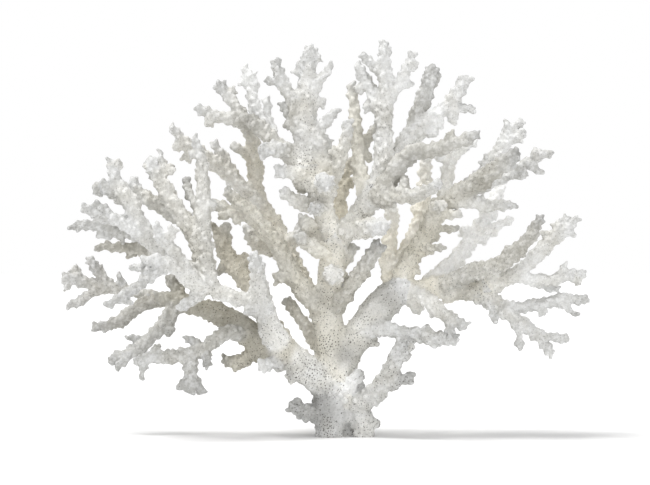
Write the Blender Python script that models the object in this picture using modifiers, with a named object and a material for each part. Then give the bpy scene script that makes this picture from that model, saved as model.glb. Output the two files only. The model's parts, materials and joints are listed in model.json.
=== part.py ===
# Branching coral: one bleached skeleton, cut off flat at its foot.
# Metres, +Z up, +X to the right as seen from the front, and the front is -Y.
# The origin lies in the middle of the cut face that it stands on.
# The skeleton is split at its forks, so each branch is its own solid.

import math
import random

import bmesh
import bpy
from mathutils import Vector

# Units
MM = 0.001

# The drawing below is what an eye sees from this far in front of the coral,
# looking level at this point, in millimetres.
EYE_DISTANCE = 1200.0
EYE_ACROSS = -10.0
EYE_UP = 98.75

# How finely the branches are made, in millimetres
ROUTE_STEP = 2.5
REMESH_VOXEL = 1.15
SMOOTH_ROUNDS = 2
TUBE_RESOLUTION = 3
TRIANGLES_PER_AREA = 0.049
FEWEST_TRIANGLES = 60
MERGE_DISTANCE = 0.0001

# The gap between two branches that touch, in millimetres, and the steepest slant between
# a point's own direction and its faces that the gap makes up for
JOINT_GAP = 0.38
STEEPEST_SLANT = 0.4

# A branch is a little wider at its root. Its last point is the tip that shows, so its
# round end starts this share of a radius short of it. The skin makes up for the smoothing.
ROOT_FLARE = 1.12
TIP_BACK = 0.35
SKIN = 0.08

# Nubs: the larger corallites that stand out along each branch
NUB_SEED = 7
NUB_STEP = 5.5
NUB_TURN = math.radians(137.5)
NUB_RADIUS = (1.5, 2.2)
NUB_REACH = 1.0
NUB_THINNEST_BRANCH = 5.0

# A knob's stem is this share of the knob's own thickness
KNOB_BRIDGE = 0.85

# The flat cut at the foot lies this far above the drawing's zero, in millimetres
CUT_UP = 2.0
CUT_BOX_SIZE = 120.0

# Looks
TIP_COLOUR = (0.80, 0.80, 0.79)
INNER_COLOUR = (0.60, 0.57, 0.49)
DEEPEST_FORWARD = -30.0
FRONT_FORWARD = 30.0
ROUGHNESS = 0.82

# The branches, in millimetres. A branch is a route of (across, up) points, its distance
# forward of the foot's middle and its thickness. The last two are spread evenly from root
# to tip. A knob is (across, up, forward, thickness). Each limb grows out of those above it.
LIMBS = {
    "foot": {
        "branches": [
            ([(-7.5, -4), (-7.5, 6), (-6.5, 17), (-3, 28)], (5, 4, 2, 0), (14, 17, 21, 21)),
            ([(9.5, -4), (9, 6), (5, 17), (0, 28)], (4, 3, 1, 0), (9, 12, 17, 19)),
            ([(0, -4), (-1, 8), (-2, 20), (-3, 28)], (-7, -6, -3, 0), (20, 20, 22, 21)),
            ([(-9, 12.5), (-16.5, 13.5), (-26.3, 17)], (3, 6, 8), (10, 9.5, 8)),
            ([(-1, 23), (2.5, 28), (7.4, 34.3)], (5, 9, 13), (9, 7.6, 5.8)),
        ],
        "knobs": [(14.3, 9, 3, 6), (-12.5, 27.5, 6, 8), (-7, 25.5, 8.5, 8), (-2, 20.5, 8, 7)],
    },
    "trunk": {
        "branches": [
            ([(-3.5, 22), (-6, 37.5), (-7.5, 52.5), (-8.5, 67.5), (-6.5, 85), (-4.8, 97), (-4, 105)],
             (0, 0, 1, 2, 3, 4, 5), (21, 20, 17, 14, 15, 14, 12)),
            ([(-6, 82), (-6, 83)], (5, 22), (12, 10)),
            ([(-5, 90), (-18.5, 98.5), (-23, 102)], (5, 14, 20), (9, 7.5, 6)),
            ([(-4, 87), (0.5, 92), (4.3, 96.5)], (3, -2, -6), (10, 8.5, 6.5)),
            ([(-4.5, 97.5), (-12.5, 102.5), (-21, 109.5)], (2, -10, -24), (12, 11, 8)),
            ([(-6, 44), (-14, 49), (-18.5, 56), (-24, 62.5), (-29.5, 70.5)],
             (-1, -9, -14, -19, -25), (9, 8.5, 7.5, 6.2, 5)),
        ],
        "knobs": [(0, 81, 4, 5), (-14.5, 60, 3, 5)],
    },
    "trunk_back_branch": {
        "branches": [
            ([(-7, 58), (-8, 66), (-8, 75), (-6, 84)], (-2, -16, -29, -38), (10, 9, 7.5, 5.5)),
        ],
        "knobs": [],
    },
    "trunk_side_branch": {
        "branches": [
            ([(-5, 66), (2.5, 76), (9, 85), (13.5, 92), (16, 99)],
             (5, 9, 10, 11, 12), (10, 8.6, 8.4, 8, 6)),
            ([(12, 90), (16, 94), (20.5, 97)], (11, 13, 15), (6, 5.5, 4.5)),
        ],
        "knobs": [],
    },
    "left_front_limb": {
        "branches": [
            ([(-5, 24), (-20, 36), (-32.5, 47.5), (-38.5, 59), (-41.5, 71), (-43.5, 82.5), (-45.5, 92)],
             (0, 8, 16, 22, 26, 30, 33), (19, 16, 14, 12.5, 10.5, 8.5, 6)),
            ([(-26, 42), (-32, 40), (-42, 37.2)], (12, 17, 22), (9.5, 7.6, 6)),
        ],
        "knobs": [(-33.5, 36, 13, 5), (-26.5, 31, 9, 6), (-48, 64, 24, 4.5)],
    },
    "left_limb_back_branch": {
        "branches": [
            ([(-25, 41), (-29, 47), (-33, 55), (-37, 63)], (10, -6, -20, -30), (10, 8.5, 7.5, 5.5)),
        ],
        "knobs": [],
    },
    "left_reach": {
        "branches": [
            ([(-41, 68), (-48, 70), (-55, 71), (-69, 76.5), (-75, 78.5), (-82.5, 85), (-90, 89),
              (-101, 89.5)],
             (25, 26, 26, 28, 31, 36, 41, 45), (10, 8.5, 8, 9, 9.5, 10, 8, 5.5)),
            ([(-92, 89), (-98.5, 87.5), (-107, 85)], (41, 39, 33), (6, 5.5, 4.5)),
            ([(-69, 76), (-76.5, 70), (-82.5, 65)], (28, 31, 33), (8, 6.5, 5)),
            ([(-77.5, 81), (-86.5, 94), (-89, 98.5), (-92.5, 102.5), (-94.5, 107)],
             (33, 37, 38, 39, 40), (9, 8, 7, 6.5, 5)),
        ],
        "knobs": [(-86, 104.5, 38, 5)],
    },
    "left_low_finger": {
        "branches": [
            ([(-86, 88.5), (-97, 82.3), (-104, 76.5), (-111.5, 72), (-119, 67)],
             (39, 44, 46, 48, 50), (7, 6.2, 5.6, 5.2, 4.4)),
        ],
        "knobs": [(-100, 84.5, 45, 4), (-109, 69, 48, 4)],
    },
    "left_tall_branch": {
        "branches": [
            ([(-68.5, 76), (-69.5, 90), (-71, 100), (-71, 112.5), (-71, 127.5), (-72, 140), (-75.5, 151.5)],
             (27, 24, 22, 20, 18, 16, 15), (11, 10, 9.5, 9, 8, 6.5, 5)),
            ([(-71, 111), (-76, 120), (-78.5, 125), (-79.5, 131)], (19, 14, 11, 8), (6, 5.5, 5, 4.2)),
        ],
        "knobs": [(-66, 118, 19, 4.5), (-76.5, 143, 15, 4)],
    },
    "left_tall_back_branch": {
        "branches": [
            ([(-69.5, 84), (-70, 90), (-71, 98), (-71, 106)], (22, 9, -3, -12), (8, 7.5, 6.5, 5)),
        ],
        "knobs": [],
    },
    "left_fork_branch": {
        "branches": [
            ([(-70, 90), (-74, 100), (-77.5, 106), (-82.5, 112.5), (-87.2, 120), (-91, 127.5), (-95, 134),
              (-98, 140)], (22, 20, 19, 18, 17, 16, 15, 15), (10.5, 10, 10, 9.6, 9.2, 8.6, 7.8, 6)),
            ([(-91.5, 128), (-91, 136), (-92.5, 145)], (15, 14, 12), (6, 5, 4.2)),
            ([(-81, 110), (-90, 116), (-98.5, 120.5), (-104, 124.5), (-106.3, 130)],
             (16, 9, 6, 5, 5), (9, 8.5, 8, 7.5, 6)),
        ],
        "knobs": [(-98.8, 136.5, 15, 4), (-87, 135, 15, 4.5)],
    },
    "left_outer_branch": {
        "branches": [
            ([(-70, 78), (-80, 86), (-92.5, 95), (-97.5, 100), (-103, 107.5), (-105.5, 115), (-109, 121.5),
              (-113.5, 127.5), (-116, 134), (-117, 140)],
             (25, 22, 22, 23, 24, 25, 25, 25, 25, 25), (11, 10, 10, 10, 9.5, 9, 8.5, 7.5, 6.5, 5.2)),
            ([(-109, 119.5), (-117, 125), (-123, 127.8)], (23, 17, 12), (8.5, 7.5, 5.5)),
        ],
        "knobs": [(-113, 138, 25, 4.6), (-123.5, 124.5, 13, 4.5)],
    },
    "left_outer_pair": {
        "branches": [
            ([(-103.5, 105), (-109, 107.5), (-116, 111), (-122.5, 116), (-126, 117.5)],
             (24, 26, 28, 29, 30), (8, 7.5, 6.5, 6, 4.5)),
            ([(-116, 110), (-122.5, 111.5), (-127.5, 114), (-131, 118)],
             (28, 29, 29, 29), (6, 5.5, 5.2, 4.2)),
        ],
        "knobs": [],
    },
    "left_outer_low_twig": {
        "branches": [
            ([(-102, 101), (-110, 104.5), (-118.5, 107), (-125, 107.5), (-132.5, 107), (-137, 106.5)],
             (21, 18, 17, 17, 18, 18), (7.5, 6.5, 6.2, 6, 5.5, 4.2)),
        ],
        "knobs": [(-118, 102, 15, 5), (-121.5, 103, 15, 4.5), (-112, 101.5, 16, 5)],
    },
    "left_shaded_twig": {
        "branches": [
            ([(-92.5, 93), (-102.5, 95.5), (-110, 96.5), (-117.5, 96.5), (-125, 96.5)],
             (21, 13, 9, 7, 5), (8, 6.5, 6, 5.5, 4.5)),
        ],
        "knobs": [(-107, 93, 10, 4.5)],
    },
    "low_left_limb": {
        "branches": [
            ([(-31, 45), (-39.5, 46), (-47.5, 52.5), (-57.5, 60), (-67.5, 64.8), (-77.5, 67.2),
              (-87.5, 69.5),
              (-97.5, 71.5)], (14, 4, -3, -7, -9, -11, -13, -16), (15, 15.5, 15, 13, 11.5, 10, 9, 7.5)),
            ([(-40, 46), (-52.5, 39.5), (-60.5, 40)], (2, -5, -8), (9, 7, 5.4)),
            ([(-78, 67), (-83.5, 74), (-86.5, 82)], (-11, -15, -17), (8, 7.5, 6.5)),
        ],
        "knobs": [(-54.5, 37, -6, 5), (-62, 66, -7, 5)],
    },
    "low_left_finger": {
        "branches": [
            ([(-96, 70), (-104, 66), (-112, 60.5), (-119, 57.2), (-126.3, 56.3)],
             (-15, -13, -12, -12, -12), (8, 7.4, 7, 6.2, 4.8)),
        ],
        "knobs": [(-113, 57.5, -12, 4)],
    },
    "far_left_fan": {
        "branches": [
            ([(-96.5, 72), (-105, 74), (-110, 75), (-117.5, 76), (-125, 77.5), (-132.5, 80),
              (-140.5, 81.5)],
             (-17, -20, -21, -22, -22, -22, -22), (8, 7.2, 7, 7, 6.8, 6.8, 6.4)),
            ([(-117, 76.5), (-124, 86), (-128, 91)], (-22, -21, -20), (7, 6.4, 5)),
            ([(-110, 75), (-113.5, 83)], (-21, -20), (5.5, 4.4)),
            ([(-121, 76.5), (-128.5, 72), (-132.5, 69.5), (-138, 67)],
             (-22, -20, -19, -18), (6.4, 6, 5.8, 4.8)),
        ],
        "knobs": [(-134.5, 85.5, -22, 4.5), (-138.5, 76.5, -22, 4.5)],
    },
    "low_left_drop": {
        "branches": [
            ([(-83.5, 67.5), (-88.5, 61), (-94, 54), (-100, 48.5), (-108.5, 43.5), (-118, 39)],
             (-12, -8, -6, -6, -6, -6), (9, 8.4, 7.8, 7.2, 6.4, 5)),
            ([(-107, 44), (-110, 40), (-114, 36)], (-6, -4, -3), (5.5, 5, 4.2)),
            ([(-98, 49.5), (-109, 51)], (-6, -8), (5.5, 4.2)),
        ],
        "knobs": [(-88, 54.5, -5, 4.5), (-102, 43, -6, 4.5)],
    },
    "bottom_left_branch": {
        "branches": [
            ([(-46, 51), (-57.5, 54), (-63.5, 51), (-70, 46), (-77.5, 43), (-87.5, 41.3), (-97.5, 41),
              (-105, 39)], (-1, 3, 5, 6, 7, 8, 8, 8), (9, 7.8, 7.6, 7.6, 7.6, 7.4, 7, 5.6)),
            ([(-72, 46), (-80, 52)], (6, 5), (6, 4.6)),
            ([(-70, 46), (-68.5, 36.5)], (6, 9), (6.5, 5)),
            ([(-77.5, 43), (-77, 32.5), (-81.5, 26.5)], (7, 8, 9), (7.5, 7, 6)),
            ([(-77, 34), (-76.5, 24)], (8, 10), (6.5, 5.4)),
            ([(-77, 33.5), (-71.8, 24.5)], (8, 5), (6.5, 5.4)),
            ([(-100, 41), (-101.8, 31.2)], (8, 9), (6, 4.8)),
        ],
        "knobs": [(-95, 45.5, 8, 4.5)],
    },
    "left_hidden_branch": {
        "branches": [
            ([(-39, 60), (-44, 72), (-53.5, 85), (-59, 92.5), (-61, 100), (-59.5, 108)],
             (20, 5, -10, -14, -16, -18), (11, 11, 10.5, 9.5, 8.5, 6)),
            ([(-60.5, 98), (-64, 104), (-68.5, 109)], (-15, -16, -16), (6.5, 6, 4.6)),
            ([(-56, 88), (-64, 84.5)], (-12, -14), (6, 4.8)),
        ],
        "knobs": [(-50, 90, -12, 6)],
    },
    "centre_left_branch": {
        "branches": [
            ([(-7, 60), (-20, 74), (-27.5, 85.5), (-32.5, 95), (-37.5, 102.5), (-45, 111.5), (-52.5, 118),
              (-59.5, 125.5)], (2, 1, 0, 0, 0, 0, 0, 0), (12, 11.5, 10.5, 9.8, 9.2, 8.6, 7.6, 5.6)),
            ([(-45, 110.5), (-55, 113.5), (-61.5, 117), (-67.5, 118.5)], (-1, -7, -9, -10), (7, 6.5, 6, 5)),
        ],
        "knobs": [(-33, 81, 1, 6), (-61, 112.5, -8, 5), (-54, 110, -6, 5)],
    },
    "back_left_branch": {
        "branches": [
            ([(-8, 63), (-17, 73), (-25, 85), (-31, 97), (-36, 107.5), (-41.5, 116), (-44.5, 125),
              (-45, 135),
              (-46, 146), (-48.5, 159)], (-1, -13, -21, -26, -29, -31, -31, -30, -28, -22),
             (10, 10, 11, 12, 11, 10, 9, 8.5, 8.5, 7)),
            ([(-30, 96), (-38, 97), (-44, 100), (-48.5, 106)], (-25, -21, -19, -18), (10, 12, 11, 7.5)),
            ([(-31, 96.5), (-26.5, 99.5), (-22, 104.5)], (-25, -25, -24), (10, 9, 7.5)),
            ([(-46, 142), (-56.5, 147)], (-28, -24), (6.5, 5)),
        ],
        "knobs": [(-50, 120, -30, 5)],
    },
    "back_left_diagonal": {
        "branches": [
            ([(-44, 119), (-52.5, 127.5), (-61.5, 135), (-70, 141.5), (-79, 147.5), (-87, 156.5)],
             (-30, -27, -23, -20, -17, -15), (9.5, 8.5, 8, 7.5, 7, 5.2)),
            ([(-53, 128.5), (-58.5, 138.5), (-62.5, 144), (-66, 149)],
             (-27, -26, -25, -24), (6.5, 5.8, 5.2, 4.4)),
        ],
        "knobs": [(-84.5, 146.5, -16, 5), (-79, 141.5, -18, 5)],
    },
    "upper_left_limb": {
        "branches": [
            ([(-5, 101), (-9.3, 110.5), (-11.5, 118.5), (-13.5, 127), (-19.5, 134), (-20.5, 142)],
             (4, 6, 8, 10, 10, 10), (12.5, 12, 13, 14, 13.5, 12.5)),
            ([(-19, 132.5), (-33.3, 134)], (11, 20), (9.5, 7)),
            ([(-9, 115), (-24, 119.5), (-31.3, 124.8)], (8, 12, 12), (9.5, 7.5, 5.4)),
            ([(-9, 117), (-15.5, 115)], (9, 25), (8, 6.5)),
            ([(-12, 126), (-10, 129)], (10, 38), (12, 9.5)),
        ],
        "knobs": [(-8, 137.5, 11, 7), (-12, 141.5, 8, 8), (-21.5, 128, 8, 8)],
    },
    "crown_spire": {
        "branches": [
            ([(-20.3, 140), (-20, 155), (-18.5, 167.5), (-19, 177.5), (-18.5, 186), (-18, 197.2)],
             (10, 8, 7, 6, 5, 5), (12.5, 11.5, 9.5, 8.2, 7, 5.2)),
            ([(-19, 178), (-21.5, 185), (-23.5, 190.5)], (6, 6, 7), (6, 5, 4.2)),
            ([(-18.5, 169), (-12.5, 180), (-9, 184), (-6.5, 188)], (7, 8, 9, 9), (7, 6, 5.2, 4.2)),
            ([(-19.5, 145), (-11.5, 157.5), (-4, 165)], (9, 12, 14), (8, 6.2, 4.6)),
        ],
        "knobs": [(-24.5, 186, 6, 4), (-24, 174.5, 7, 4.5), (-12, 168.5, 8, 4.5), (-9.5, 147.5, 10, 7),
                  (-21.5, 194, 5, 3.6), (-14, 191.5, 5, 3.6)],
    },
    "crown_left_prong": {
        "branches": [
            ([(-20.5, 147), (-26, 167.5), (-28.5, 173.5), (-31.5, 179), (-34, 185), (-35, 190)],
             (9, 8, 8, 8, 8, 8), (9, 7.6, 7, 6.5, 6, 4.8)),
            ([(-31, 178), (-39.5, 180)], (8, 9), (5.6, 4.2)),
            ([(-22.5, 154), (-28.5, 163.5), (-32, 168.5)], (7, 0, -5), (7, 5.5, 4.4)),
        ],
        "knobs": [(-28.5, 158, 6, 5)],
    },
    "upper_left_fan": {
        "branches": [
            ([(-19, 134), (-27.5, 142.5), (-35, 148.5), (-41.5, 155), (-47.5, 159), (-55, 160.5),
              (-62.5, 161.5),
              (-69, 164), (-74.5, 166)], (10, 10, 10, 10, 10, 11, 12, 12, 12),
              (11, 10, 9.2, 8.6, 8, 7.2, 6.5, 6, 4.8)),
            ([(-27.5, 144), (-35, 145.5), (-42, 144)], (11, 19, 26), (9, 8.4, 6.4)),
            ([(-48, 158), (-53.5, 165), (-56.5, 169.5), (-60.5, 174), (-63, 178)],
             (10, 8, 7, 6, 6), (7.5, 7, 7, 7, 6.4)),
        ],
        "knobs": [(-68.5, 158.5, 12, 4.5), (-56, 174.5, 6, 4.5)],
    },
    "upper_left_spire": {
        "branches": [
            ([(-35, 148), (-41.5, 157.5), (-44.5, 164), (-46, 170), (-47, 176), (-48.5, 182), (-50, 187)],
             (9, 2, 0, -1, -2, -2, -2), (8.5, 7.6, 7, 6.6, 6.2, 5.6, 4.5)),
            ([(-36.5, 151), (-38, 159), (-39, 165), (-39, 171)], (6, -3, -7, -10), (7, 5.6, 5.2, 4.6)),
        ],
        "knobs": [(-45.8, 182.5, -2, 3.8), (-44.6, 178.5, -2, 4), (-50.8, 179, -2, 3.8)],
    },
    "crown_middle_twig": {
        "branches": [
            ([(-9, 121), (-6, 130), (-3.4, 137.5), (-0.9, 146), (0.8, 153.5), (1.8, 159.5)],
             (9, 15, 17, 18, 18, 18), (9, 7.8, 7.2, 6.8, 6.2, 4.8)),
        ],
        "knobs": [(-5.5, 144, 17, 4)],
    },
    "fork_back_branch": {
        "branches": [
            ([(-3.5, 106), (-3, 120), (-1, 131), (2, 139)], (0, -11, -19, -27), (10, 9, 8, 6)),
        ],
        "knobs": [(2.5, 128, -15, 4.5)],
    },
    "upper_right_limb": {
        "branches": [
            ([(-2.5, 101), (2.5, 107.5), (7.5, 113), (11, 118.5), (16, 122.5), (18, 127)],
             (4, 6, 8, 11, 13, 14), (12, 11.5, 12, 12.5, 13.5, 11)),
            ([(0, 104.5), (8.5, 106.3), (19.5, 106.5)], (7, 18, 30), (11, 11.5, 9)),
        ],
        "knobs": [(23, 119, 12, 7)],
    },
    "crown_slim_branch": {
        "branches": [
            ([(11, 121), (7.5, 135), (6.5, 145), (5.5, 157.5), (4.5, 166), (3.5, 172.5), (3, 178.5)],
             (11, 3, 0, -3, -5, -6, -7), (9.5, 8, 7.5, 7, 6.2, 5.4, 4.2)),
            ([(6.5, 142), (15, 157)], (0, -20), (7, 5)),
        ],
        "knobs": [(12, 141, -4, 4.5)],
    },
    "crown_tall_branch": {
        "branches": [
            ([(16, 122), (19, 137.5), (19.4, 145), (19.3, 157.5), (19.5, 170), (20, 182.5), (19.5, 198)],
             (13, 12, 12, 11, 10, 10, 10), (11, 11, 10.4, 9.4, 8.8, 7.6, 6)),
            ([(19.5, 181.5), (13, 189), (8.6, 192.6)], (10, 10, 10), (6.2, 5.6, 5)),
            ([(20.5, 168), (27.5, 178.5), (31, 186.5), (34, 193.5)], (10, 9, 8, 8), (7, 6, 5.4, 4.4)),
            ([(19.5, 159.5), (14.8, 171.5), (11.2, 179), (6, 187.5)], (10, 6, 5, 5), (8.6, 7.6, 7.2, 5.6)),
        ],
        "knobs": [(34.8, 186.5, 8, 4), (31.5, 178, 8, 4.5), (7, 175.5, 4, 4.5), (11, 167, 5, 5)],
    },
    "right_spire": {
        "branches": [
            ([(20.5, 134), (25, 141), (28.5, 146.5), (32, 152), (35, 159.5), (38.7, 168.5),
              (41.7, 176.5), (43.6, 187)],
             (11, 6, 3, 1, 0, 0, 0, 0), (9.5, 8.6, 8.8, 9, 8.8, 8.6, 8.2, 6.4)),
        ],
        "knobs": [(46, 180, 0, 3.8)],
    },
    "right_prong": {
        "branches": [
            ([(32, 150), (41.5, 159.5), (48, 164.5), (53.5, 169.5), (57, 175), (60.5, 180.5)],
             (2, 4, 5, 5, 5, 5), (10, 8.6, 8, 8, 8, 7.4)),
            ([(51, 166), (64, 165.5)], (5, 6), (6, 4.6)),
        ],
        "knobs": [(53.5, 160.5, 5, 5), (47, 158, 5, 4.5), (43.5, 154, 3, 6)],
    },
    "front_right_arm": {
        "branches": [
            ([(17, 122), (23.5, 133), (30, 141), (36.5, 144.2), (47.5, 145.8), (56.5, 149), (66.8, 152.8)],
             (18, 25, 29, 33, 38, 42, 45), (11, 10, 9.6, 9, 8, 7, 5.4)),
        ],
        "knobs": [(53, 152.4, 41, 4.6)],
    },
    "front_right_finger": {
        "branches": [
            ([(16.5, 121), (26, 123), (33.5, 122), (40.5, 124.5), (47.5, 128.5)],
             (17, 27, 33, 38, 41), (9.5, 8, 7.6, 7, 5.2)),
        ],
        "knobs": [(29.5, 129.5, 30, 5)],
    },
    "right_main_limb": {
        "branches": [
            ([(-3, 26), (-1.5, 38), (4, 48.5), (10.5, 57.5), (17, 66), (23.5, 72), (30, 75.5)],
             (0, 1, 2, 3, 4, 5, 5), (18, 17, 16.5, 17, 18, 17, 15)),
        ],
        "knobs": [(36.5, 66.5, 5, 6.5), (14, 49, 5, 5), (19, 73, 5, 5)],
    },
    "right_limb_back_branch": {
        "branches": [
            ([(13, 58), (15, 61), (18, 67), (23, 73)], (2, -12, -25, -35), (10, 8.5, 7.5, 5.5)),
        ],
        "knobs": [],
    },
    "right_low_branch": {
        "branches": [
            ([(10, 54), (20, 55.5), (28.5, 53.5), (36.5, 53), (45, 50.8), (55.5, 50.4)],
             (7, 12, 13, 15, 18, 21), (9, 8, 8, 8.4, 8.6, 7)),
        ],
        "knobs": [(41, 56, 16, 4)],
    },
    "right_base_branch": {
        "branches": [
            ([(2, 15), (13.5, 22), (19.5, 29), (24, 37), (27.5, 45), (29.5, 50.5)],
             (2, 10, 15, 20, 24, 27), (12.5, 11.2, 10.6, 10, 8.6, 6.6)),
            ([(19.5, 28), (33, 31)], (15, 20), (8.6, 6.6)),
        ],
        "knobs": [(32.8, 46.5, 24, 4), (30.8, 41.5, 22, 3.8)],
    },
    "far_right_limb": {
        "branches": [
            ([(27, 73.5), (40, 74.5), (47.5, 76.5), (55, 76), (62.5, 75), (71, 75)],
             (5, 4, 3, 3, 3, 3), (13.5, 13, 12.5, 12.5, 13, 12)),
        ],
        "knobs": [(51, 70.5, 4, 5)],
    },
    "far_right_back_branch": {
        "branches": [
            ([(48, 76), (52, 77), (56, 77.5), (62, 77)], (2, -13, -26, -36), (9.5, 8.5, 7.5, 5.5)),
        ],
        "knobs": [],
    },
    "right_drop_branch": {
        "branches": [
            ([(34, 73), (39, 71.5), (45.5, 66.5), (52, 61.5), (60.5, 57.2)],
             (8, 14, 19, 22, 25), (9, 8.4, 7.6, 7, 5)),
            ([(51.5, 62.5), (52.5, 53.5)], (22, 24), (6.4, 5)),
        ],
        "knobs": [(45, 63, 20, 4)],
    },
    "right_back_branches": {
        "branches": [
            ([(25, 72), (22.5, 81), (21.5, 90), (22, 98), (23.2, 108), (23.5, 118)],
             (2, -8, -13, -16, -17, -17), (11, 9.6, 9, 8.4, 7.6, 6)),
            ([(23, 80), (27.5, 89), (32, 97.5), (36, 106), (38.5, 116), (39.5, 125), (40.5, 142)],
             (-7, -15, -19, -21, -22, -22, -20), (9, 8.6, 8.4, 8, 8, 7.6, 6)),
        ],
        "knobs": [(35, 115, -22, 4.5)],
    },
    "right_fan_limb": {
        "branches": [
            ([(28.5, 75), (29, 84), (34, 92.5), (39, 99), (42.5, 107), (46.5, 116), (53, 121.5)],
             (4, 2, 0, 0, 0, 0, 0), (12, 11.6, 11.4, 10.6, 10, 10, 9.8)),
            ([(46, 115), (47.5, 117)], (3, 20), (9, 7)),
            ([(45, 112), (58, 113)], (2, 11), (6.4, 4.6)),
            ([(42.5, 106), (56, 105.5)], (0, -10), (6, 4.4)),
            ([(37.5, 96), (48.8, 96)], (0, 10), (6.4, 5)),
        ],
        "knobs": [(45.5, 101.5, 0, 4.5), (35.5, 85, 1, 4.4)],
    },
    "right_fan_back_branch": {
        "branches": [
            ([(42.5, 107), (44, 110), (46, 116)], (-2, -16, -28), (7.5, 6.8, 5)),
        ],
        "knobs": [],
    },
    "right_fan_spire": {
        "branches": [
            ([(50.5, 120), (51.2, 132.5), (52.6, 140), (57.5, 145.3), (65.5, 149)],
             (-1, -4, -5, -5, -5), (9, 7.2, 6.6, 5.8, 4.4)),
            ([(53.2, 138), (42.5, 145)], (-5, -7), (6, 4.8)),
        ],
        "knobs": [],
    },
    "right_fan_arm": {
        "branches": [
            ([(52.5, 121), (57.5, 123.5), (65, 129.5), (71, 135.5), (76, 142), (80, 148.5), (81, 155),
              (81, 159.5)],
             (0, -1, -2, -3, -4, -5, -5, -5), (10, 9, 8.6, 8.4, 8, 7, 6, 4.6)),
            ([(81, 153.5), (89, 159.5)], (-5, -5), (5.6, 4.2)),
            ([(80, 149.5), (90.5, 154)], (-5, -3), (5.6, 4.2)),
        ],
        "knobs": [(86.5, 150.5, -4, 4.5), (70, 139.5, -3, 4.5)],
    },
    "right_fan_front_arm": {
        "branches": [
            ([(53, 120.5), (61.5, 126), (67.5, 130), (74, 134.5), (80.5, 139), (86, 142.5)],
             (4, 14, 18, 21, 23, 25), (10.5, 10, 9.8, 9.6, 9, 7)),
        ],
        "knobs": [(70, 127, 19, 4.5)],
    },
    "right_fan_back_arm": {
        "branches": [
            ([(53, 120), (60, 122), (65, 125), (72.5, 128.5), (79, 132), (85.5, 135.5), (92.5, 139),
              (98, 142),
              (102.5, 143.5)], (-2, -9, -14, -15, -15, -14, -13, -12, -12),
              (8.5, 7.6, 7.2, 7, 6.8, 6.5, 6, 5.4, 4.4)),
            ([(78, 131), (84, 131.5), (91.5, 133.5)], (-15, -10, -6), (6, 5, 4.4)),
            ([(91, 138), (98.5, 133.5)], (-13, -11), (5.2, 4.2)),
        ],
        "knobs": [(95, 143.5, -12, 4.5)],
    },
    "right_fan_low_arm": {
        "branches": [
            ([(52, 119.5), (62.5, 118.5), (72.5, 117), (85.5, 117.5)], (3, 9, 12, 14), (9, 7, 6.2, 4.6)),
        ],
        "knobs": [(68, 120.5, 11, 4)],
    },
    "right_sweep_branch": {
        "branches": [
            ([(40, 75), (46.8, 81.5), (53.2, 88), (59.2, 95), (64.2, 101.5), (68.4, 108.2),
              (72.4, 114.7), (76, 122.5),
              (78.5, 128)], (1, -4, -9, -12, -15, -18, -21, -25, -28),
              (10, 9.6, 9.2, 9, 8.6, 8.6, 8, 7, 5.2)),
            ([(65, 104), (75, 106.5), (83, 110)], (-16, -14, -12), (6.8, 5.8, 4.4)),
        ],
        "knobs": [(59.5, 104.5, -15, 5), (68.5, 100.5, -16, 5), (74.5, 112, -20, 4.5), (75, 103, -14, 4)],
    },
    "far_right_front_arm": {
        "branches": [
            ([(50, 77), (62.5, 83.8), (71, 86), (78.5, 88.8), (85, 93.6), (90.5, 99.5), (94.7, 105.5),
              (98, 112)],
             (6, 14, 18, 21, 24, 26, 28, 30), (10.5, 9.6, 9, 8.6, 8, 7.2, 6.2, 4.6)),
        ],
        "knobs": [(82, 95.5, 23, 4.5), (76, 85, 21, 4.5)],
    },
    "far_right_upper_arm": {
        "branches": [
            ([(68, 75), (77.5, 80), (85, 82.5), (90, 86.5), (95, 91.5), (100, 96.5), (105.5, 101.5),
              (110.5, 106.5),
              (116, 110.5)], (3, 3, 4, 4, 5, 5, 5, 5, 5), (11, 9.6, 9, 8.4, 8.2, 7.8, 7.6, 7, 4.8)),
            ([(109, 105), (110, 112)], (5, 5), (5.6, 4.4)),
            ([(107.5, 103), (114.5, 103.5)], (5, 6), (5, 4)),
        ],
        "knobs": [(101.5, 94, 5, 4.2), (105, 107, 5, 4.2), (101, 103.5, 5, 4.2)],
    },
    "far_right_middle_arm": {
        "branches": [
            ([(84, 82), (93.5, 80.5), (100, 79.5), (106.5, 81), (112.5, 82), (119.5, 83.5)],
             (4, 1, 0, 0, 0, 0), (8, 6.8, 6.5, 6.4, 6, 4.8)),
            ([(92.5, 80), (100, 77), (106.5, 75.3)], (1, -4, -6), (6.4, 5.8, 5)),
        ],
        "knobs": [(109, 86, 0, 4.4), (116.5, 79, 0, 4.2)],
    },
    "far_right_lower_arm": {
        "branches": [
            ([(68, 73), (74.5, 69), (80.3, 64.8), (85.5, 60.5), (90.5, 56.5), (95.5, 53),
              (99.5, 48.5), (103.5, 43)],
             (3, 6, 8, 9, 10, 10, 10, 10), (11, 9.2, 8.6, 8.2, 7.6, 7, 6, 4.4)),
            ([(95.5, 53), (102.5, 51.5), (112, 51)], (10, 11, 12), (5.4, 4.8, 4)),
            ([(86.5, 59.5), (87.5, 46)], (9, 12), (5.6, 4)),
            ([(73.5, 70), (74.5, 59.5)], (6, 9), (6, 4.2)),
        ],
        "knobs": [(84, 57.5, 9, 4)],
    },
    "far_right_low_arm": {
        "branches": [
            ([(79, 66), (87, 66.2), (93.5, 67.4), (100, 68.6), (108, 70), (115, 70.5), (121, 70.5)],
             (8, 4, 2, 2, 3, 4, 4), (8, 7, 6.8, 6.6, 6.4, 6, 5)),
            ([(107, 69), (115.5, 62.5)], (4, 6), (5, 4)),
        ],
        "knobs": [(99, 64, 4, 4)],
    },
}


def clear_scene():
    for obj in list(bpy.data.objects):
        bpy.data.objects.remove(obj, do_unlink=True)


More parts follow.
